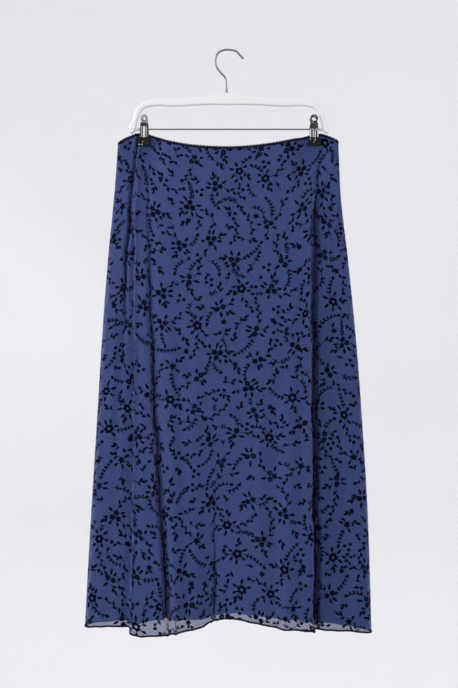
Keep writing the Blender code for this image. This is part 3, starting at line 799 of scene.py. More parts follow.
def piece_from_mesh(name, points, faces):
    """A new piece with a mesh of these points and faces."""
    mesh = bpy.data.meshes.new(name)
    mesh.from_pydata(points, [], faces)
    piece = bpy.data.objects.new(name, mesh)
    bpy.context.scene.collection.objects.link(piece)
    return piece


def piece_from_grid(name, points, maps, closed_across=False, lap=(0.0, 0.0), flip=False):
    """A sheet of quads through rows of points, with a UV map. A closed one goes on by its lap past its last column."""
    rows, columns = points.shape[:2]
    row = np.arange(rows - 1)[:, None]
    column = np.arange(columns if closed_across else columns - 1)[None]
    after = (column + 1) % columns
    near = row * columns
    corners = np.stack(
        np.broadcast_arrays(near + column, near + columns + column, near + columns + after, near + after), axis=-1
    ).reshape(-1, 4)
    uv = maps.reshape(-1, 2)[corners]
    lapped = np.broadcast_to(after == 0, (rows - 1, after.size)).ravel()
    uv[lapped, 2:] += lap
    if flip:
        corners = corners[:, ::-1]
        uv = uv[:, ::-1]
    piece = piece_from_mesh(name, points.reshape(-1, 3).tolist(), corners.tolist())
    layer = piece.data.uv_layers.new(name="cloth")
    layer.data.foreach_set("uv", uv.astype(np.float32).ravel())
    return piece


def tube_piece(name, route, radii, sides):
    """A tube along a route, with its own width at each point, a UV map along and round it, and capped ends."""
    route = np.asarray(route, float)
    ahead = np.gradient(route, axis=0)
    ahead /= np.linalg.norm(ahead, axis=1, keepdims=True)
    aside = np.cross(ahead, (0.0, 1.0, 0.0))
    weak = np.linalg.norm(aside, axis=1) < WEAK_CROSS
    aside[weak] = np.cross(ahead[weak], (0.0, 0.0, 1.0))
    aside /= np.linalg.norm(aside, axis=1, keepdims=True)
    over = np.cross(ahead, aside)
    angles = np.linspace(0.0, math.tau, sides, endpoint=False)
    ring = np.cos(angles)[None, :, None] * aside[:, None] + np.sin(angles)[None, :, None] * over[:, None]
    points = route[:, None] + ring * np.asarray(radii, float).reshape(-1, 1, 1)
    maps = pair_up(lengths_along(route)[:, None], (angles / math.tau)[None])
    piece = piece_from_grid(name, points, maps, closed_across=True, lap=(0.0, 1.0))
    edit_all(piece)
    bpy.ops.mesh.fill_holes(sides=0)
    face_outwards(piece)
    return piece


def smooth_route(points, steps):
    """Points on a smooth curve through the route's own points."""
    points = np.asarray(points, float)
    lengths = lengths_along(points)
    at = np.linspace(0.0, lengths[-1], steps + 1)
    return np.stack([read_table(lengths, column, at) for column in points.T], axis=1)


def rounded_pin(vertices, radius, length, place, rounding, segments, lies_across=False, flatness=1.0):
    """An upright pin, or one that lies across, with rounded ends."""
    turn = math.pi / 2 if lies_across else 0.0
    deselect_all()
    bpy.ops.mesh.primitive_cylinder_add(
        vertices=vertices, radius=radius, depth=length, location=place, rotation=(0.0, turn, 0.0))
    pin = bpy.context.object
    pin.scale = (1.0, flatness, 1.0)
    apply_place(pin)
    edit_faces(pin, Vector((1.0, 0.0, 0.0) if lies_across else (0.0, 0.0, 1.0)), both_ways=True)
    bpy.ops.mesh.bevel(offset=rounding, segments=segments, affect="EDGES")
    leave_edit()
    return pin


def tapered_block(place, depth, top, foot, half_widths, thickness, rounding):
    """A flat block with rounded edges and its own half width at its top and foot."""
    top_half, foot_half = half_widths
    deselect_all()
    bpy.ops.mesh.primitive_cube_add(size=1.0, location=(place, depth, (top + foot) / 2))
    block = bpy.context.object
    block.scale = (2 * foot_half, thickness, top - foot)
    apply_place(block)
    edit_faces(block, Vector((0.0, 0.0, 1.0)))
    bpy.ops.transform.resize(value=(top_half / foot_half, 1.0, 1.0), center_override=(place, depth, top))
    bpy.ops.mesh.select_all(action="SELECT")
    bpy.ops.mesh.bevel(offset=rounding, segments=3, affect="EDGES")
    leave_edit()
    return block


class Wire:
    """A shader socket with ordinary arithmetic: each operator adds a Math node."""

    def __init__(self, finish, socket):
        self.finish = finish
        self.socket = socket

    def math(self, operation, first, second=None):
        values = [first] if second is None else [first, second]
        return self.finish.node("ShaderNodeMath", {"operation": operation}, dict(enumerate(values)))

    def __add__(self, other):
        return self.math("ADD", self, other)

    def __sub__(self, other):
        return self.math("SUBTRACT", self, other)

    def __mul__(self, other):
        return self.math("MULTIPLY", self, other)

    def __radd__(self, other):
        return self.math("ADD", other, self)

    def __rsub__(self, other):
        return self.math("SUBTRACT", other, self)

    def __rmul__(self, other):
        return self.math("MULTIPLY", other, self)

    def sine(self):
        return self.math("SINE", self)

    def clamped(self):
        return self.finish.node("ShaderNodeClamp", {}, {0: self})


class Finish:
    """A material made of nodes round one Principled shader."""

    def __init__(self, name, **constants):
        self.material = bpy.data.materials.new(name)
        self.material.use_nodes = True
        self.tree = self.material.node_tree
        self.shader = self.tree.nodes["Principled BSDF"]
        for socket, value in constants.items():
            self.shader.inputs[socket.replace("_", " ")].default_value = value

    def node(self, kind, settings, inputs, output=0):
        """Adds a node, sets it up, feeds its sockets and gives back one output."""
        made = self.tree.nodes.new(kind)
        for setting, value in settings.items():
            setattr(made, setting, value)
        for socket, value in inputs.items():
            if isinstance(value, Wire):
                self.tree.links.new(value.socket, made.inputs[socket])
            else:
                made.inputs[socket].default_value = value
        return Wire(self, made.outputs[output])

    def coordinates(self, source="Object", scale=(1.0, 1.0, 1.0)):
        """Object or UV coordinates, stretched by a scale."""
        place = self.node("ShaderNodeTexCoord", {}, {}, source)
        return self.node("ShaderNodeMapping", {}, {"Vector": place, "Scale": scale})

    def axis(self, place, number):
        """One axis of a place."""
        return self.node("ShaderNodeSeparateXYZ", {}, {0: place}, number)

    def noise(self, scale, detail=2.0, roughness=0.5, source="Object"):
        """Soft random values from 0 to 1, with one scale or one for each axis."""
        stretched = isinstance(scale, tuple)
        place = self.coordinates(source, scale) if stretched else self.coordinates(source)
        settings = {"Vector": place, "Scale": 1.0 if stretched else scale, "Detail": detail, "Roughness": roughness}
        return self.node("ShaderNodeTexNoise", {}, settings, "Fac")

    def mix(self, share, first, second):
        """A colour between two."""
        return self.node("ShaderNodeMix", {"data_type": "RGBA"}, {0: share, 6: first, 7: second}, 2)

    def tones(self, share, color, low, high):
        """A colour between a darker and a lighter tone of one."""
        return self.mix(share, shade(color, low), shade(color, high))

    def bump(self, height, strength, distance):
        """A Bump node fed by a height."""
        return self.node("ShaderNodeBump", {}, {"Height": height, "Strength": strength, "Distance": distance})

    def feed(self, **sources):
        """Links values to the shader's sockets."""
        for socket, value in sources.items():
            self.tree.links.new(value.socket, self.shader.inputs[socket.replace("_", " ")])
        return self.material


def opaque(color):
    """A colour with full alpha."""
    return (*color[:3], 1.0)


def shade(color, factor):
    """A colour made darker or lighter, with full alpha."""
    return (*(channel * factor for channel in color[:3]), 1.0)


def chiffon_finish(settings):
    """Sheer crepe chiffon: fine twisted threads, long faint streaks and a soft violet sheen."""
    made = Finish("chiffon", Alpha=settings.sheerness, Sheen_Weight=0.50, Sheen_Roughness=0.40,
                  Sheen_Tint=(0.50, 0.44, 0.95, 1.0), Specular_IOR_Level=0.25)
    streaks = made.noise((420.0, 14.0, 1.0), 3.0, source="UV")
    patches = made.noise((26.0, 9.0, 1.0), source="UV")
    crepe = made.noise((1500.0, 900.0, 1.0), 2.0, 0.6, "UV")
    light = (streaks * 0.55 + patches * 0.25 + crepe * 0.20).clamped()
    clouds = made.noise((11.0, 7.0, 1.0), 3.0, 0.6, "UV")
    tint = made.mix((clouds * 2.4 - 0.7).clamped(), opaque(settings.chiffon_color), opaque(settings.chiffon_cast))
    color = made.node("ShaderNodeMix", {"data_type": "RGBA", "blend_type": "MULTIPLY"},
                      {0: 1.0, 6: tint, 7: made.tones(light, (1.0, 1.0, 1.0), 0.72, 1.28)}, 2)
    warp = (made.axis(made.coordinates("UV"), 0) * 5200.0).sine()
    relief = crepe * 0.7 + warp * 0.15 + streaks * 0.3
    return made.feed(Base_Color=color, Roughness=0.72 + crepe * 0.2, Normal=made.bump(relief, 0.35, 0.0002))


def lining_finish(settings):
    """A smooth woven lining with a faint twill."""
    made = Finish("lining", Sheen_Weight=0.15, Sheen_Roughness=0.4, Specular_IOR_Level=0.35)
    place = made.coordinates("UV")
    twill = ((made.axis(place, 0) + made.axis(place, 1)) * 4200.0).sine()
    slubs = made.noise((300.0, 24.0, 1.0), source="UV")
    return made.feed(Base_Color=made.tones(slubs, settings.lining_color, 0.84, 1.16),
                     Roughness=0.50 + slubs * 0.15, Normal=made.bump(twill * 0.5 + slubs * 0.5, 0.25, 0.00015))


def flock_finish(settings):
    """Short dark velvety fibres."""
    made = Finish("flock", Sheen_Weight=0.02, Sheen_Roughness=0.6, Sheen_Tint=(0.25, 0.28, 0.8, 1.0),
                  Specular_IOR_Level=0.06)
    fibres = made.noise(2600.0, 3.0, 0.7)
    tufts = made.noise(420.0)
    color = made.tones((fibres * 0.6 + tufts * 0.4).clamped(), settings.flock_color, 0.5, 1.5)
    return made.feed(Base_Color=color, Roughness=0.88 + fibres * 0.1, Normal=made.bump(fibres, 0.6, 0.0002))


def thread_finish(name, color, turns_per_metre, slant):
    """Close overlock or elastic threads, slanting round the edge that they cover, with painted shade between the
    thread's wraps.
    """
    made = Finish(name, Sheen_Weight=0.04, Sheen_Roughness=0.5, Specular_IOR_Level=0.1)
    place = made.coordinates("UV")
    turns = made.axis(place, 0) * (turns_per_metre * math.tau) + made.axis(place, 1) * slant
    loops = turns.sine() * 0.5 + 0.5
    fuzz = made.noise(2400.0, 3.0, 0.6)
    # Painted shade: the colour is darker where the wraps' bump is low and lighter on them; the fuzz adds random tone.
    color = made.tones((loops * 0.6 + fuzz * 0.4).clamped(), color, 0.45, 1.7)
    return made.feed(Base_Color=color, Roughness=0.8 + fuzz * 0.15,
                     Normal=made.bump(loops * 0.7 + fuzz * 0.3, 0.7, 0.0004))


def plastic_finish(settings):
    """White moulded plastic with faint flow marks and handling marks."""
    made = Finish("white_plastic", Specular_IOR_Level=0.45, Subsurface_Weight=0.05,
                  Subsurface_Radius=(0.004, 0.004, 0.004))
    flow = made.noise((30.0, 60.0, 90.0), 3.0)
    pits = made.noise(900.0)
    marks = made.noise((60.0, 400.0, 400.0), 4.0, 0.7)
    color = made.tones((flow * 0.7 + marks * 0.3).clamped(), settings.plastic_color, 0.97, 1.02)
    return made.feed(Base_Color=color, Roughness=0.30 + marks * 0.18, Normal=made.bump(pits + flow, 0.08, 0.0002))


def metal_finish(name, color, roughness, drawn):
    """Plated or drawn metal with fine marks along it."""
    made = Finish(name, Metallic=1.0)
    marks = made.noise(drawn, 3.0, 0.6)
    clouds = made.noise(240.0)
    color = made.tones((marks * 0.5 + clouds * 0.5).clamped(), color, 0.82, 1.12)
    return made.feed(Base_Color=color, Roughness=roughness + marks * 0.12, Normal=made.bump(marks, 0.12, 0.0001))


def rubber_finish(settings):
    """Black grip rubber, dusty and finely pitted."""
    made = Finish("grip_rubber", Specular_IOR_Level=0.15)
    dust = made.noise(500.0, 3.0)
    pits = made.noise(2400.0)
    return made.feed(Base_Color=made.tones(dust, settings.rubber_color, 0.6, 1.8), Roughness=0.55 + dust * 0.3,
                     Normal=made.bump(pits, 0.4, 0.0002))


# Flock shapes, flat, in millimetres: shares of the shape's length and of its half width, round its edge
LEAF_SHAPE = ((0.0, 0.0), (0.28, 0.84), (0.62, 0.96), (1.0, 0.0), (0.62, -0.96), (0.28, -0.84))
BUD_SHAPE = (
    (0.0, 0.0), (0.30, 0.85), (0.80, 0.95), (1.0, 0.45), (0.84, 0.0), (1.0, -0.45), (0.80, -0.95), (0.30, -0.85),
)
MILLIMETRE = 0.001
CELL = 8.0
STALK_WIDTH = 0.75
LEAF_ROOM = 0.42
SPRAY_ROOM = 4.2
BRANCH_ROOM = 4.0

# Sprays: step between the stalk's leaves, shortest and longest stalk
SPRAYS = {
    "pairs": (6.4, 26.0, 48.0),
    "berries": (4.7, 22.0, 38.0),
    "leaves": (6.6, 28.0, 54.0),
}

# Heads in the order in which they follow each other, and the sprays that grow from them
HEAD_ORDER = ("trio", "ring", "duo", "trio", "stars", "duo", "ring", "buds", "trio", "lone_star", "duo", "ring")
SPRAY_ORDER = ("leaves", "pairs", "leaves", "berries", "pairs", "leaves", "pairs")
FILLER_ORDER = ("twig", "spray", "spray", "lone_star", "spray", "twig", "spray", "buds")

# How many places are tried for each, and the small sprigs' distance and room as shares of the heads' distance
HEAD_TRIES = 14000
FILLER_TRIES = 9000
FILLER_SPACING = 0.42
FILLER_ROOM = 0.17

# How near the flock comes to the side seams, the waist and the hem, and how deep it roots
FLOCK_MARGINS = (0.0008, 0.0005, 0.0010)
FLOCK_ROOT = 0.0001


class Print:
    """Flock patches laid flat on a panel's own measure, kept from running into each other."""

    def __init__(self, seed):
        self.random = random.Random(seed)
        self.patches = []
        self.taken = {}
        self.sprigs = 0

    def is_free(self, place, room, owner):
        """Whether no other sprig's patch lies within reach of a place."""
        column = round(place[0] / CELL)
        row = round(place[1] / CELL)
        for i in range(column - 2, column + 3):
            for j in range(row - 2, row + 3):
                for other, size, who in self.taken.get((i, j), ()):
                    if who != owner and math.dist(place, other) < room + size:
                        return False
        return True

    def take(self, place, size, owner):
        """Marks a round place as used."""
        cell = (round(place[0] / CELL), round(place[1] / CELL))
        self.taken.setdefault(cell, []).append((place, size, owner))

    def patch(self, points, faces, middle, size, owner):
        """Keeps one patch of flock."""
        self.patches.append((points, faces))
        self.take(middle, size, owner)

    def leaf(self, foot, heading, length, width, owner, bend=0.0, shape=LEAF_SHAPE):
        """A slim leaf, petal or bud from its foot, if there is room for it."""
        ahead = (math.cos(heading), math.sin(heading))
        middle = step_from(foot, heading, length / 2)
        if not self.is_free(middle, length * LEAF_ROOM, owner):
            return
        points = []
        for share, half in shape:
            along = length * share
            aside = width / 2 * half + bend * length * share * share
            points.append((
                foot[0] + ahead[0] * along - ahead[1] * aside,
                foot[1] + ahead[1] * along + ahead[0] * aside,
            ))
        self.patch(points, [tuple(range(len(points)))], middle, length * LEAF_ROOM, owner)

    def dot(self, middle, radius, owner, sides=6):
        """A small round berry."""
        if not self.is_free(middle, radius, owner):
            return
        points = [step_from(middle, math.tau * i / sides, radius) for i in range(sides)]
        self.patch(points, [tuple(range(sides))], middle, radius, owner)

    def flower(self, middle, radius, owner, petals, lobe, eye):
        """A round flower with a lobed edge, and a bare eye in its middle unless the eye is 0."""
        sides = petals * (4 if eye > 0.3 else 2)
        turn = self.random.uniform(0.0, math.tau)

        def ring(share, depth):
            points = []
            for i in range(sides):
                angle = math.tau * i / sides
                reach = radius * share * (1.0 + depth * math.cos(petals * angle))
                points.append(step_from(middle, angle + turn, reach))
            return points

        edge = ring(1.0, lobe)
        if eye:
            points = edge + ring(eye, 0.0)
            faces = [(i, (i + 1) % sides, (i + 1) % sides + sides, i + sides) for i in range(sides)]
        else:
            points = [middle] + edge
            faces = [(0, i + 1, (i + 1) % sides + 1) for i in range(sides)]
        self.patch(points, faces, middle, radius, owner)

    def stem(self, line, owner):
        """A thin stalk along a line."""
        points = []
        for index, (x, y) in enumerate(line):
            before = line[max(index - 1, 0)]
            after = line[min(index + 1, len(line) - 1)]
            heading = math.atan2(after[1] - before[1], after[0] - before[0])
            for side in (1.0, -1.0):
                half = side * STALK_WIDTH / 2
                points.append((x - half * math.sin(heading), y + half * math.cos(heading)))
        faces = [(2 * i, 2 * i + 1, 2 * i + 3, 2 * i + 2) for i in range(len(line) - 1)]
        self.patches.append((points, faces))
        for x, y in line:
            self.take((x, y), STALK_WIDTH, owner)

    def spray(self, foot, heading, owner, kind):
        """A curved stalk with leaflets or berries on both sides, cut short where it comes near another sprig."""
        step, shortest, longest = SPRAYS[kind]
        length = self.random.uniform(shortest, longest)
        bend = self.random.choice((-1.0, 1.0)) * self.random.uniform(0.5, 1.7)
        line = [foot]
        headings = [heading]
        while len(line) * step < length:
            heading += bend * step / length
            place = step_from(line[-1], heading, step)
            if not self.is_free(place, SPRAY_ROOM, owner):
                break
            line.append(place)
            headings.append(heading)
        if len(line) < 3:
            return
        self.stem(line, owner)
        for index in range(1, len(line)):
            place = line[index]
            ahead = headings[index]
            taper = 1.0 - 0.32 * index / len(line)
            side = 1.0 if index % 2 else -1.0
            if kind == "berries":
                for turn in (side * 1.1, side * -1.5):
                    self.dot(step_from(place, ahead + turn, 2.7 * taper), 1.95 * taper, owner)
            elif kind == "pairs":
                for turn in (0.70, -0.80):
                    self.leaf(place, ahead + turn, 6.6 * taper, 3.1 * taper, owner, bend=-0.10 if turn > 0 else 0.10)
            else:
                long = self.random.uniform(8.5, 11.0) * taper
                self.leaf(place, ahead + side * 0.72, long, 4.3 * taper, owner, bend=-0.14 * side)
        self.leaf(line[-1], headings[-1], 7.6, 3.9, owner)

    def branch(self, foot, heading, owner):
        """A short stalk with a leaf at its end and one on each side."""
        step = self.random.uniform(2.6, 3.6)
        bend = self.random.uniform(-0.25, 0.25)
        line = [foot]
        for _ in range(3):
            heading += bend
            line.append(step_from(line[-1], heading, step))
        if not self.is_free(line[-1], BRANCH_ROOM, owner):
            return
        self.stem(line, owner)
        side = self.random.choice((-1.0, 1.0))
        self.leaf(line[3], heading, self.random.uniform(9.5, 12.5), 4.6, owner, bend=0.10 * side)
        self.leaf(line[2], heading + 0.80 * side, self.random.uniform(8.0, 10.5), 4.3, owner, bend=-0.12 * side)
        self.leaf(line[1], heading - 0.90 * side, self.random.uniform(7.0, 9.5), 4.0, owner, bend=0.12 * side)

    def leaves(self, middle, turn, angles, reach, length, width, owner):
        """Leaves that stand out from a middle at the angles given."""
        for angle in angles:
            foot = step_from(middle, turn + angle, reach)
            wobble = self.random.uniform(-0.35, 0.35)
            long = length * self.random.uniform(0.80, 1.15)
            self.leaf(foot, turn + angle + wobble, long, width, owner, bend=self.random.uniform(-0.16, 0.16))

    def head(self, kind, middle, turn, owner):
        """A sprig's flowers and the leaves round them. Gives back the angles and the reach at which sprays start."""
        def around(count, reach):
            return [(step_from(middle, angle, reach), angle)
                    for angle in (turn + math.tau * i / count for i in range(count))]

        if kind == "trio":
            for place, _ in around(3, 5.9):
                self.flower(place, self.random.uniform(4.5, 5.0), owner, 5, 0.10, self.random.choice((0.0, 0.0, 0.2)))
            self.leaves(middle, turn, (1.30, 0.75, -0.70, 2.75, 3.6), 9.6, 11.0, 4.6, owner)
            return ((0.05, -1.9, 2.1), 10.5)
        if kind == "duo":
            for place, _ in around(2, 5.2):
                self.flower(place, self.random.uniform(4.5, 5.0), owner, 5, 0.10, self.random.choice((0.0, 0.2)))
            self.leaves(middle, turn, (1.25, 1.95, -1.35, 0.35), 6.4, 11.5, 4.6, owner)
            return ((0.0, 3.14, -2.2), 9.8)
        if kind == "ring":
            self.flower(middle, self.random.uniform(6.8, 8.2), owner, self.random.choice((5, 5, 6)), 0.15, 0.33)
            self.leaves(middle, turn, (0.60, -0.55, 2.5, 3.7, 1.5), 8.6, 10.5, 4.6, owner)
            return ((0.0, 3.1, -1.5), 9.0)
        if kind == "stars":
            for place, _ in around(3, 5.6):
                self.flower(place, 4.5, owner, 5, 0.26, 0.22)
            self.leaves(middle, turn, (1.1, 2.2, -1.3), 9.6, 9.5, 4.2, owner)
            return ((-0.4, 3.3), 9.6)
        if kind == "buds":
            for place, angle in around(3, 2.2):
                self.leaf(place, angle, 6.4, 6.0, owner, shape=BUD_SHAPE)
            return ((1.05, -2.4), 4.0)
        self.flower(middle, 5.6, owner, 5, 0.30, 0.0)
        self.leaves(middle, turn, (0.3, 2.4, 3.3), 6.6, 10.0, 4.3, owner)
        return ((1.3, -1.4), 6.4)

    def filler(self, kind, middle, turn, owner):
        """A small sprig for the gaps between the heads."""
        if kind == "spray":
            self.spray(middle, turn, owner, self.random.choice(SPRAY_ORDER))
            self.branch(middle, turn + math.pi, owner)
        elif kind == "twig":
            self.branch(middle, turn, owner)
            self.branch(middle, turn + 2.5, owner)
        elif kind == "buds":
            self.head("buds", middle, turn, owner)
        else:
            self.flower(middle, 4.6, owner, 5, 0.28, 0.0)
            self.branch(middle, turn + 0.6, owner)
            self.spray(middle, turn + 3.3, owner, "leaves")

    def scatter(self, corners, spacing, room, tries, order, plant):
        """Plants sprigs at random places that keep their distance from each other and from what is there."""
        low, high = corners
        places = np.empty((0, 2))
        for _ in range(tries):
            place = (self.random.uniform(low[0], high[0]), self.random.uniform(low[1], high[1]))
            if len(places) and np.min(np.hypot(*(places - place).T)) < spacing:
                continue
            if not self.is_free(place, room, None):
                continue
            plant(order[len(places) % len(order)], place)
            places = np.vstack([places, place])


def lay_print(cloth, spacing, seed):
    """Sprigs scattered evenly over a panel: the flower heads, the sprays that grow from them, then small sprigs."""
    design = Print(seed)
    corners = ((cloth.across.min() / MILLIMETRE, 0.0), (cloth.across.max() / MILLIMETRE, cloth.down[-1] / MILLIMETRE))
    starts = []

    def plant_head(kind, place):
        design.sprigs += 1
        turn = design.random.uniform(0.0, math.tau)
        angles, reach = design.head(kind, place, turn, design.sprigs)
        for angle in angles:
            starts.append((step_from(place, turn + angle, reach), turn + angle, design.sprigs))

    def plant_filler(kind, place):
        design.sprigs += 1
        design.filler(kind, place, design.random.uniform(0.0, math.tau), design.sprigs)

    spacing /= MILLIMETRE
    design.scatter(corners, spacing, 0.0, HEAD_TRIES, HEAD_ORDER, plant_head)
    for index, (foot, heading, owner) in enumerate(starts):
        if index % 3 == 2:
            design.branch(foot, heading, owner)
        else:
            design.spray(foot, heading, owner, SPRAY_ORDER[index % len(SPRAY_ORDER)])
    design.scatter(
        corners, spacing * FILLER_SPACING, spacing * FILLER_ROOM, FILLER_TRIES, FILLER_ORDER, plant_filler)
    return design.patches


def flock_piece(name, cloth, patches, height):
    """Raises the flat patches as thin solid flock on the cloth."""
    counts = [len(points) for points, _ in patches]
    flat = np.concatenate([np.array(points) for points, _ in patches]) * MILLIMETRE
    middles = np.array([np.mean(points, axis=0) for points, _ in patches]) * MILLIMETRE
    left, right = cloth.half_widths(middles[:, 1])
    from_seams, from_waist, from_hem = FLOCK_MARGINS
    shown = (middles[:, 0] > left + from_seams) & (middles[:, 0] < right - from_seams)
    shown &= (middles[:, 1] > from_waist) & (middles[:, 1] < cloth.down[-1] - from_hem)
    places, outward = cloth.lay(flat[:, 0], np.clip(flat[:, 1], 0.0, cloth.down[-1]))
    foot = places - outward * FLOCK_ROOT
    top = places + outward * height
    points = []
    faces = []
    start = 0
    for (_, patch_faces), count, is_shown in zip(patches, counts, shown):
        if is_shown:
            base = len(points)
            points.extend(foot[start:start + count].tolist())
            points.extend(top[start:start + count].tolist())
            edges = {}
            for face in patch_faces:
                faces.append(tuple(base + count + i for i in face))
                faces.append(tuple(base + i for i in reversed(face)))
                for a, b in zip(face, face[1:] + face[:1]):
                    if (b, a) in edges:
                        del edges[(b, a)]
                    else:
                        edges[(a, b)] = True
            for a, b in edges:
                faces.append((base + a, base + b, base + count + b, base + count + a))
        start += count
    piece = piece_from_mesh(name, points, faces)
    face_outwards(piece)
    return piece


def color_setting(name, description, default):
    """A setting for a colour."""
    return bpy.props.FloatVectorProperty(
        name=name, description=description, default=default, size=3, min=0.0, max=1.0, subtype="COLOR")


def length_setting(name, description, default, low, high):
    """A setting for a length within bounds."""
    return bpy.props.FloatProperty(
        name=name, description=description, default=default, min=low, max=high, unit="LENGTH")


class ClothSettings(bpy.types.PropertyGroup):
    """Sizes and colours of the sewn cloth."""

    shell: length_setting("Cloth thickness", "Thickness of the chiffon and lining shells", 0.00035, 0.0001, 0.001)
    sheerness: bpy.props.FloatProperty(
        name="Chiffon cover", description="How much each face of the chiffon covers what lies behind it", default=0.52,
        min=0.05, max=1.0, subtype="FACTOR")
    chiffon_color: color_setting("Chiffon", "Colour of the sheer outer cloth", (0.0290, 0.0555, 0.169))
    chiffon_cast: color_setting(
        "Chiffon cast", "Colour that the chiffon leans to in soft clouds", (0.0400, 0.0520, 0.175))
    lining_color: color_setting("Lining", "Colour of the opaque inner cloth", (0.038, 0.076, 0.190))


class PrintSettings(bpy.types.PropertyGroup):
    """Sizes and colour of the flocked print."""

    spacing: length_setting("Sprig spacing", "Least distance between neighbouring flower heads", 0.046, 0.02, 0.08)
    flock_height: length_setting("Flock height", "How far the flock stands off the chiffon", 0.00035, 0.0001, 0.001)
    flock_color: color_setting("Flock", "Colour of the flocked flowers and leaves", (0.0008, 0.0012, 0.0070))
    seed: bpy.props.IntProperty(
        name="Layout", description="Number that picks the print's layout", default=7, min=0, max=1000)


class TrimSettings(bpy.types.PropertyGroup):
    """Sizes and colour of the elastic and the sewn edges."""

    hem_radius: length_setting("Hem thread", "Radius of the overlocked hem edge", 0.00165, 0.0003, 0.002)
    seam_radius: length_setting("Side seam", "Radius of the rolled side seams", 0.00055, 0.0002, 0.002)
    thread_color: color_setting("Thread", "Colour of the elastic and the overlock thread", (0.0020, 0.0025, 0.0115))


class HangerSettings(bpy.types.PropertyGroup):
    """Colours of the hanger and its clips."""

    plastic_color: color_setting("Plastic", "Colour of the moulded hanger", (0.60, 0.60, 0.60))
    plating_color: color_setting("Plating", "Colour of the polished ribs and springs", (0.42, 0.42, 0.425))
    # Painted shade: the plates, the right clip's ring and the left clip's curl get a near-black plating that stands in
    # for the shade between the ribs and the dark reflections on the chrome.
    painted_shade_color: color_setting("Recesses", "Colour of the plates between the ribs", (0.055, 0.048, 0.047))
    hook_color: color_setting("Hook", "Colour of the hook's wire", (0.20, 0.195, 0.19))
    wire_color: color_setting("Bar", "Colour of the thin bar", (0.16, 0.14, 0.14))
    rubber_color: color_setting("Grip pads", "Colour of the rubber pads", (0.0035, 0.0035, 0.0035))


class StageSettings(bpy.types.PropertyGroup):
    """The studio round the skirt."""

    floor_height: bpy.props.FloatProperty(
        name="Floor", description="Height of the studio floor", default=-2.30, unit="LENGTH")
    wall_radius: bpy.props.FloatProperty(
        name="Wall", description="Distance of the round studio wall", default=3.6, min=3.0, unit="LENGTH")
    paper_color: color_setting("Paper", "Colour of the floor and wall", (0.74, 0.735, 0.755))
    key_power: bpy.props.FloatProperty(
        name="Key light", description="Power of the large light at the left", default=96.0, min=0.0)
    fill_power: bpy.props.FloatProperty(
        name="Fill lights", description="Power of the fill lights", default=32.0, min=0.0)
    sky: bpy.props.FloatProperty(
        name="Room light", description="Strength of the even light from above", default=0.87, min=0.0)


def sew_shell(name, cloth, is_front, thickness, finish, solid):
    """Sews one panel as a thin shell on its solid's form."""
    piece = piece_from_grid(name, cloth.points, pair_up(cloth.across, cloth.down[:, None]), flip=not is_front)
    add_modifier(piece, "SOLIDIFY", thickness=thickness, offset=-1.0)
    return finish_piece(piece, name, finish, (solid,), 60.0)


class SKIRT_OT_sew_chiffon(bpy.types.Operator):
    """Sews the two sheer outer panels, each a thin shell on its solid's form"""

    bl_idname = "skirt.sew_chiffon"
    bl_label = "Sew chiffon panels"

    def execute(self, context):
        settings = context.scene.skirt_cloth
        finish = chiffon_finish(settings)
        for is_front, side in SIDES:
            sew_shell(
                f"chiffon_{side}", Cloth(is_front), is_front, settings.shell, finish, f"{side}_panel")
        return {"FINISHED"}


class SKIRT_OT_sew_lining(bpy.types.Operator):
    """Sews the two opaque lining panels inside the chiffon, shorter than it"""

    bl_idname = "skirt.sew_lining"
    bl_label = "Sew lining panels"

    def execute(self, context):
        settings = context.scene.skirt_cloth
        finish = lining_finish(settings)
        for is_front, side in SIDES:
            cloth = Cloth(is_front, is_lining=True)
            piece = sew_shell(
                f"lining_shell_{side}", cloth, is_front, settings.shell, finish, f"lining_{side}")
        return {"FINISHED"}


class SKIRT_OT_flock_print(bpy.types.Operator):
    """Lays the flocked flowers, leaves and sprays on both outer panels"""

    bl_idname = "skirt.flock_print"
    bl_label = "Flock the print"

    def execute(self, context):
        settings = context.scene.skirt_print
        finish = flock_finish(settings)
        for is_front, side in SIDES:
            cloth = Cloth(is_front)
            patches = lay_print(cloth, settings.spacing, settings.seed + (0 if is_front else 1))
            piece = flock_piece(f"flock_{side}", cloth, patches, settings.flock_height)
            finish_piece(piece, f"flock_{side}", finish, smooth_angle=50.0)
        return {"FINISHED"}


class SKIRT_OT_edge_waist(bpy.types.Operator):
    """Makes the narrow elastic with its picot edge, all round the waist"""

    bl_idname = "skirt.edge_waist"
    bl_label = "Edge the waist"

    def execute(self, context):
        front = Cloth(True)
        back = Cloth(False)
        hoop = np.concatenate([front.points[0], back.points[0][::-1], front.points[0][:1]])
        outward = np.concatenate([front.normals[0], back.normals[0][::-1], front.normals[0][:1]])
        outward[:, 2] = 0.0
        outward /= np.linalg.norm(outward, axis=1, keepdims=True)
        lengths = lengths_along(hoop)
        count = len(PICOT_RISE) * round(lengths[-1] / PICOT_LENGTH)
        at = np.linspace(0.0, lengths[-1], count, endpoint=False)
        path = read_rows(at, lengths, hoop)
        out = read_rows(at, lengths, outward)
        rises = np.resize(PICOT_RISE, count)
        rows = []
        for off, up in BAND_SECTION:
            lift = up + SEAM_GAP + rises * (up > PICOT_FOOT)
            rows.append(path + out * off + lift[:, None] * np.array([0.0, 0.0, 1.0]))
        points = np.stack(rows + rows[:1])
        maps = pair_up(at[None], np.linspace(0.0, 1.0, len(points))[:, None])
        piece = piece_from_grid("waist_band", points, maps, closed_across=True, lap=(lengths[-1], 0.0))
        face_outwards(piece, merge=True)
        finish = thread_finish("elastic", context.scene.skirt_trim.thread_color, 900.0, 9.0)
        finish_piece(piece, "waist_band", finish, ("waist_elastic",), 60.0)
        return {"FINISHED"}


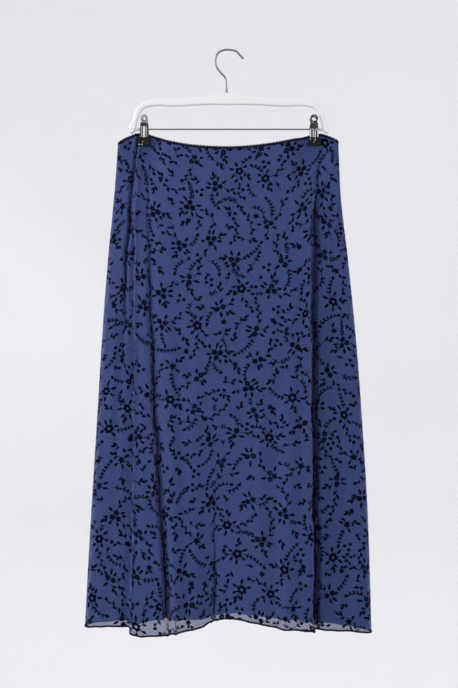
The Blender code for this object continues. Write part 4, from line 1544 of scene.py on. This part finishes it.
class SKIRT_OT_edge_hem(bpy.types.Operator):
    """Overlocks the hem and rolls the side seams"""

    bl_idname = "skirt.edge_hem"
    bl_label = "Edge the hem and side seams"

    def execute(self, context):
        settings = context.scene.skirt_trim
        thread = thread_finish("overlock", settings.thread_color, 700.0, 6.3)
        seam = thread_finish("seam_thread", context.scene.skirt_cloth.chiffon_color, 420.0, 6.3)
        panels = {"front": Cloth(True), "back": Cloth(False)}
        for side, cloth in panels.items():
            foot = cloth.points[-1] - cloth.normals[-1] * HEM_SINK
            start, end = cloth.across[-1, [0, -1]]
            at = np.linspace(start, end, round(float(end - start) / HEM_STEP))
            route = read_rows(at, cloth.across[-1], foot)
            self.edge(f"hem_edge_{side}", route, settings.hem_radius, HEM_STITCHES, thread, "elastic")
        for side, column in (("left", 0), ("right", -1)):
            route = (panels["front"].points[:, column] + panels["back"].points[:, column]) / 2
            route[:, 0] += (1.0 if side == "left" else -1.0) * SEAM_SINK
            self.edge(f"side_seam_{side}", route, settings.seam_radius, SEAM_STITCHES, seam, "chiffon")
        return {"FINISHED"}

    def edge(self, name, route, radius, stitches, finish, slot):
        """A stitched edge that swells at its stitches."""
        swell, spacing = stitches
        radii = radius * (1.0 + swell * np.sin(np.arange(len(route)) * spacing))
        finish_piece(tube_piece(name, route, radii, 8), name, finish, smooth_angle=70.0)


class HANGER_OT_mould_body(bpy.types.Operator):
    """Moulds the white hanger with rounded edges and a boss on each leg"""

    bl_idname = "hanger.mould_body"
    bl_label = "Mould the hanger"

    def execute(self, context):
        settings = context.scene.skirt_hanger
        right = list(HANGER_UPPER + HANGER_LOWER)
        left = [(-across, height) for across, height in reversed(right)]
        outline = [(0.0, HANGER_TOP)] + right + [(0.0, HANGER_LOWER[-1][1])] + left
        deselect_all()
        bpy.ops.curve.primitive_bezier_circle_add()
        curve = bpy.context.object
        spline = curve.data.splines[0]
        spline.bezier_points.add(len(outline) - len(spline.bezier_points))
        for knot, (across, height) in zip(spline.bezier_points, outline):
            knot.co = (across, height, 0.0)
            knot.handle_left_type = "AUTO"
            knot.handle_right_type = "AUTO"
        curve.data.dimensions = "2D"
        curve.data.fill_mode = "BOTH"
        curve.data.resolution_u = 10
        curve.data.extrude = HANGER_DEPTH / 2 - HANGER_ROUND
        curve.data.bevel_depth = HANGER_ROUND
        curve.data.bevel_resolution = 4
        curve.data.offset = -HANGER_ROUND
        curve.location = (HANGER_MIDDLE, 0.0, 0.0)
        curve.rotation_euler = (math.pi / 2, 0.0, 0.0)
        bpy.ops.object.convert(target="MESH")
        body = bpy.context.object
        face_outwards(body, merge=True)
        plastic = plastic_finish(settings)
        finish_piece(body, "hanger_moulding", plastic, ("hanger_body",), 35.0)
        for side, sign in (("left", -1.0), ("right", 1.0)):
            inner, outer = (HANGER_MIDDLE + sign * value for value in BOSS_HALF_SPAN)
            middle = ((inner + outer) / 2, 0.0, BAR_HEIGHT)
            boss = rounded_pin(40, BOSS_RADIUS, abs(outer - inner), middle, BOSS_ROUND, 4, lies_across=True)
            finish_piece(boss, f"hanger_boss_{side}", plastic)
        return {"FINISHED"}


class HANGER_OT_bend_wire(bpy.types.Operator):
    """Bends the wire hook and finishes the thin bar"""

    bl_idname = "hanger.bend_wire"
    bl_label = "Bend the hook and bar"

    def execute(self, context):
        settings = context.scene.skirt_hanger
        route = [(across, 0.0, height) for across, height in smooth_route(HOOK_ROUTE, HOOK_STEPS)]
        steel = metal_finish("hook_steel", settings.hook_color, 0.26, (60.0, 500.0, 60.0))
        radii = np.full(len(route), HOOK_WIRE_RADIUS)
        radii[-len(HOOK_BALL):] *= HOOK_BALL
        hook = tube_piece("hook_wire", route, radii, 20)
        finish_piece(hook, "hook_wire", steel, ("hanger_hook",), 50.0)
        low, high = HOOK_SLEEVE
        middle = (HOOK_ROUTE[0][0], 0.0, (low + high) / 2)
        sleeve = rounded_pin(32, HOOK_SLEEVE_RADIUS, high - low, middle, HOOK_SLEEVE_ROUND, 4)
        finish_piece(sleeve, "hook_sleeve", steel)
        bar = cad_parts["hanger_bar"]
        bar.data.materials.clear()
        bar.data.materials.append(metal_finish("bar_wire", settings.wire_color, 0.32, (40.0, 700.0, 700.0)))
        return {"FINISHED"}


class HANGER_OT_fit_clips(bpy.types.Operator):
    """Fits both clips: sprung plates with ribs, finger rings, coil springs and grip pads"""

    bl_idname = "hanger.fit_clips"
    bl_label = "Fit the clips"

    def execute(self, context):
        settings = context.scene.skirt_hanger
        polished = metal_finish("clip_plating", settings.plating_color, 0.22, (500.0, 500.0, 60.0))
        # Painted shade: the left clip's side ribs get the darker hook steel in place of the plating, for their dimmer
        # reflection.
        steel = metal_finish("clip_steel", settings.hook_color, 0.30, (500.0, 500.0, 60.0))
        # Painted shade and painted dark reflection: near-black plating for the plates, the right ring and the left
        # curl.
        dark = metal_finish("clip_recess", settings.painted_shade_color, 0.36, (500.0, 500.0, 60.0))
        rubber = rubber_finish(settings)
        for side, place in CLIP_PLACES.items():
            for name, facing in FACINGS:
                self.plate(side, name, place, facing, dark)
                if side == "left":
                    self.ribs(name, place, facing, polished, steel)
                    self.washer(name, place, facing, polished)
                    self.curl(name, place, facing, dark)
                else:
                    self.bent_ribs(name, place, facing, polished)
                    self.ring(name, place, facing, dark)
                self.pad(side, name, place, facing, rubber)
                self.points(side, name, place, facing, polished)
            self.spring(side, place, polished)
        return {"FINISHED"}

    def plate(self, side, name, place, facing, finish):
        """A tapered sprung plate, narrow at the ring, in the finish given: the near-black plating that is painted
        shade.
        """
        depth = facing * (PLATE_INNER + PLATE_THICKNESS / 2)
        plate = tapered_block(
            place, depth, PLATE_TOP, PLATE_FOOT, PLATE_HALF_WIDTHS, PLATE_THICKNESS, PLATE_ROUND)
        finish_piece(plate, f"clip_shell_{side}_{name}", finish, (f"clip_{side}_plate_{name}",), 35.0)

    def ribs(self, name, place, facing, polished, steel):
        """The left clip's ribs: a polished one in the middle and a duller one on each side, whose darker steel is
        painted shade for its dimmer reflection.
        """
        for number, (offset, radius, is_polished) in enumerate(LEFT_RIBS):
            middle = (place + offset, facing * PLATE_FACE, (LEFT_RIB_TOP + RIB_FOOT) / 2)
            rib = rounded_pin(
                24, radius, LEFT_RIB_TOP - RIB_FOOT, middle, radius * RIB_ROUND, 5, flatness=RIB_FLATTENING)
            finish = polished if is_polished else steel
            finish_piece(rib, f"clip_rib_left_{name}_{number + 1}", finish, smooth_angle=35.0)

    def bent_ribs(self, name, place, facing, finish):
        """The right clip's two ribs, each bent over at its top."""
        depth = facing * (PLATE_FACE + RIGHT_RIB_WIRE * RIGHT_RIB_RISE)
        top = RIGHT_RIB_TOP - RIGHT_RIB_HALF
        bend = np.linspace(math.pi, 0.0, RIGHT_RIB_BEND_STEPS)
        for number, offset in enumerate(RIGHT_RIBS):
            centre = place + offset
            route = [(centre - RIGHT_RIB_HALF, depth, RIB_FOOT)]
            route += [(centre + RIGHT_RIB_HALF * math.cos(a), depth, top + RIGHT_RIB_HALF * math.sin(a)) for a in bend]
            route.append((centre + RIGHT_RIB_HALF, depth, RIB_FOOT))
            rib = tube_piece("rib", route, [RIGHT_RIB_WIRE] * len(route), 12)
            finish_piece(rib, f"clip_rib_right_{name}_{number + 1}", finish, smooth_angle=50.0)

    def ring(self, name, place, facing, finish):
        """The right clip's finger ring, of round wire."""
        depth = facing * (PLATE_INNER + PLATE_THICKNESS / 2)
        deselect_all()
        bpy.ops.mesh.primitive_torus_add(
            major_segments=48, minor_segments=14, major_radius=RING_RADIUS, minor_radius=RING_WIRE,
            location=(place, depth, RING_CENTRE), rotation=(math.pi / 2, 0.0, 0.0))
        ring = bpy.context.object
        finish_piece(ring, f"clip_ring_right_{name}", finish, (f"clip_right_ring_{name}",), 50.0)

    def washer(self, name, place, facing, finish):
        """The left clip's finger ring: a flat washer with soft edges."""
        depth = facing * (PLATE_INNER + PLATE_THICKNESS / 2)
        deselect_all()
        bpy.ops.mesh.primitive_cylinder_add(
            vertices=48, radius=WASHER_OUTER, depth=2 * RING_WIRE, location=(place, depth, RING_CENTRE),
            rotation=(math.pi / 2, 0.0, 0.0))
        washer = bpy.context.object
        apply_place(washer)
        edit_faces(washer, Vector((0.0, 1.0, 0.0)), both_ways=True)
        bpy.ops.mesh.inset(thickness=WASHER_RIM, depth=0.0)
        bpy.ops.mesh.bridge_edge_loops()
        leave_edit()
        add_modifier(
            washer, "BEVEL", width=WASHER_ROUND, segments=3, limit_method="ANGLE", angle_limit=math.radians(60))
        finish_piece(washer, f"clip_ring_left_{name}", finish, (f"clip_left_ring_{name}",), 50.0)

    def curl(self, name, place, facing, finish):
        """The wire's open curl inside the left clip's washer."""
        depth = facing * (PLATE_FACE + CURL_WIRE)
        angles = CURL_START - CURL_SWEEP * np.linspace(0.0, 1.0, CURL_STEPS)
        route = [(place + CURL_RADIUS * math.cos(a), depth, CURL_CENTRE + CURL_RADIUS * math.sin(a)) for a in angles]
        radii = np.full(len(route), CURL_WIRE)
        radii[[0, -1]] *= CURL_TIP
        piece = tube_piece("curl", route, radii, 12)
        finish_piece(piece, f"clip_curl_left_{name}", finish, smooth_angle=50.0)

    def pad(self, side, name, place, facing, finish):
        """A rubber grip pad moulded over the plate's foot, wider at its own foot on the right clip."""
        thickness = PLATE_FACE + PAD_WRAP - PAD_INNER
        depth = facing * (PAD_INNER + thickness / 2)
        pad = tapered_block(
            place, depth, PAD_TOP, PAD_TOP - PAD_HEIGHT, PAD_HALF_WIDTHS[side], thickness, PAD_ROUND)
        edit_faces(pad, Vector((0.0, facing, 0.0)), least=FLAT_SHARE)
        rim, sunk = PAD_PANEL
        bpy.ops.mesh.inset(thickness=rim, depth=-sunk)
        leave_edit()
        finish_piece(pad, f"clip_grip_{side}_{name}", finish, (f"clip_{side}_pad_{name}",), 35.0)

    def points(self, side, name, place, facing, finish):
        """The plate's polished points that come through the pad."""
        depth = facing * (PLATE_FACE + PAD_WRAP - PAD_PANEL[1])
        points = []
        for offset, height, half_width, half_height in PAD_POINTS[side]:
            deselect_all()
            bpy.ops.mesh.primitive_uv_sphere_add(
                segments=16, ring_count=10, radius=1.0, location=(place + offset, depth, height))
            point = bpy.context.object
            point.scale = (half_width, PAD_POINT_DEPTH, half_height)
            apply_place(point)
            points.append(point)
        deselect_all()
        for point in points:
            point.select_set(True)
        bpy.context.view_layer.objects.active = points[0]
        bpy.ops.object.join()
        finish_piece(points[0], f"clip_points_{side}_{name}", finish, smooth_angle=60.0)

    def spring(self, side, place, finish):
        """A coil spring round the bar."""
        shares = np.linspace(0.0, 1.0, SPRING_TURNS * SPRING_TURN_STEPS + 1)
        angles = math.tau * SPRING_TURNS * shares
        across = place + (shares * 2.0 - 1.0) * (SPRING_HALF_LENGTH - SPRING_WIRE)
        reach = SPRING_RADIUS - SPRING_WIRE
        route = np.stack([across, reach * np.cos(angles), BAR_HEIGHT + reach * np.sin(angles)], axis=1)
        piece = tube_piece("spring", route, np.full(len(route), SPRING_WIRE), 8)
        finish_piece(piece, f"clip_coil_{side}", finish, (f"clip_{side}_spring",), 50.0)


class SKIRT_OT_set_stage(bpy.types.Operator):
    """Sets the pale floor and wall, the soft lights and the camera"""

    bl_idname = "skirt.set_stage"
    bl_label = "Set the stage"

    def execute(self, context):
        settings = context.scene.skirt_stage
        radius = settings.wall_radius
        corner = WALL_CORNER
        profile = [(0.0, 0.0), (radius - corner, 0.0)]
        for step in range(1, WALL_CORNER_STEPS + 1):
            angle = math.pi / 2 * step / WALL_CORNER_STEPS
            profile.append((radius - corner + corner * math.sin(angle), corner - corner * math.cos(angle)))
        profile.append((radius, WALL_HEIGHT))
        deselect_all()
        bpy.ops.mesh.primitive_circle_add(vertices=96, radius=profile[1][0], fill_type="NGON",
                                          location=(0.0, 0.0, settings.floor_height))
        floor = bpy.context.object
        bpy.ops.object.mode_set(mode="EDIT")
        bpy.ops.mesh.select_mode(type="EDGE")
        bpy.ops.mesh.select_all(action="SELECT")
        for (inner, low), (outer, high) in zip(profile[1:], profile[2:]):
            bpy.ops.mesh.extrude_edges_move(TRANSFORM_OT_translate={"value": (0.0, 0.0, high - low)})
            bpy.ops.transform.resize(
                value=(outer / inner, outer / inner, 1.0), center_override=(0.0, 0.0, settings.floor_height + high))
        leave_edit()
        apply_place(floor)
        bpy.ops.object.shade_smooth_by_angle(angle=math.radians(40))
        floor.name = "studio_floor"
        paper = Finish("studio_paper", Roughness=0.95, Specular_IOR_Level=0.1)
        grain = paper.noise(3.0, 2.0)
        color = paper.tones(grain, settings.paper_color, 0.99, 1.01)
        floor.data.materials.append(paper.feed(Base_Color=color))
        for name, (place, size, power) in LIGHTS.items():
            self.light(name, place, size, getattr(settings, power))
        world = bpy.data.worlds.new("studio_air")
        context.scene.world = world
        world.use_nodes = True
        world.node_tree.nodes["Background"].inputs["Color"].default_value = (0.98, 0.99, 1.0, 1.0)
        world.node_tree.nodes["Background"].inputs["Strength"].default_value = settings.sky
        context.scene.view_settings.view_transform = "Standard"
        deselect_all()
        bpy.ops.object.camera_add(location=CAMERA_PLACE, rotation=(math.pi / 2, 0.0, 0.0))
        camera = bpy.context.object
        camera.name = "photo_camera"
        camera.data.lens = CAMERA_LENS
        camera.data.sensor_width = CAMERA_SENSOR
        camera.data.clip_start = 0.05
        context.scene.camera = camera
        return {"FINISHED"}

    def light(self, name, place, size, power):
        """A large soft light that looks at the skirt's middle."""
        deselect_all()
        bpy.ops.object.light_add(type="AREA", location=place)
        light = bpy.context.object
        light.name = name
        light.data.shape = "RECTANGLE"
        light.data.size = size[0]
        light.data.size_y = size[1]
        light.data.energy = power
        light.visible_camera = False
        aim = Vector((0.0, 0.0, CAMERA_PLACE[2])) - Vector(place)
        light.rotation_euler = aim.to_track_quat("-Z", "Y").to_euler()


class SKIRT_PT_workroom(bpy.types.Panel):
    """Lists the sewing and fitting steps with their sizes and colours"""

    bl_label = "Skirt"
    bl_idname = "SKIRT_PT_workroom"
    bl_space_type = "VIEW_3D"
    bl_region_type = "UI"
    bl_category = "Skirt"

    def draw(self, context):
        for group, settings_class in SETTINGS.items():
            settings = getattr(context.scene, group)
            box = self.layout.box()
            for setting in settings_class.__annotations__:
                box.prop(settings, setting)
        for step in STEPS:
            self.layout.operator(step.bl_idname)


SETTINGS = {
    "skirt_cloth": ClothSettings,
    "skirt_print": PrintSettings,
    "skirt_trim": TrimSettings,
    "skirt_hanger": HangerSettings,
    "skirt_stage": StageSettings,
}
STEPS = (
    SKIRT_OT_sew_chiffon,
    SKIRT_OT_sew_lining,
    SKIRT_OT_flock_print,
    SKIRT_OT_edge_waist,
    SKIRT_OT_edge_hem,
    HANGER_OT_mould_body,
    HANGER_OT_bend_wire,
    HANGER_OT_fit_clips,
    SKIRT_OT_set_stage,
)


def register():
    """Registers the settings, steps and panel."""
    for group, settings_class in SETTINGS.items():
        bpy.utils.register_class(settings_class)
        setattr(bpy.types.Scene, group, bpy.props.PointerProperty(type=settings_class))
    for made in (*STEPS, SKIRT_PT_workroom):
        bpy.utils.register_class(made)


def unregister():
    """Takes the settings, steps and panel out again."""
    for made in (SKIRT_PT_workroom, *reversed(STEPS)):
        bpy.utils.unregister_class(made)
    for group, settings_class in SETTINGS.items():
        delattr(bpy.types.Scene, group)
        bpy.utils.unregister_class(settings_class)


def main():
    """Runs every step in order."""
    register()
    bpy.ops.skirt.sew_chiffon()
    bpy.ops.skirt.sew_lining()
    bpy.ops.skirt.flock_print()
    bpy.ops.skirt.edge_waist()
    bpy.ops.skirt.edge_hem()
    bpy.ops.hanger.mould_body()
    bpy.ops.hanger.bend_wire()
    bpy.ops.hanger.fit_clips()
    bpy.ops.skirt.set_stage()


if __name__ == "__main__":
    main()
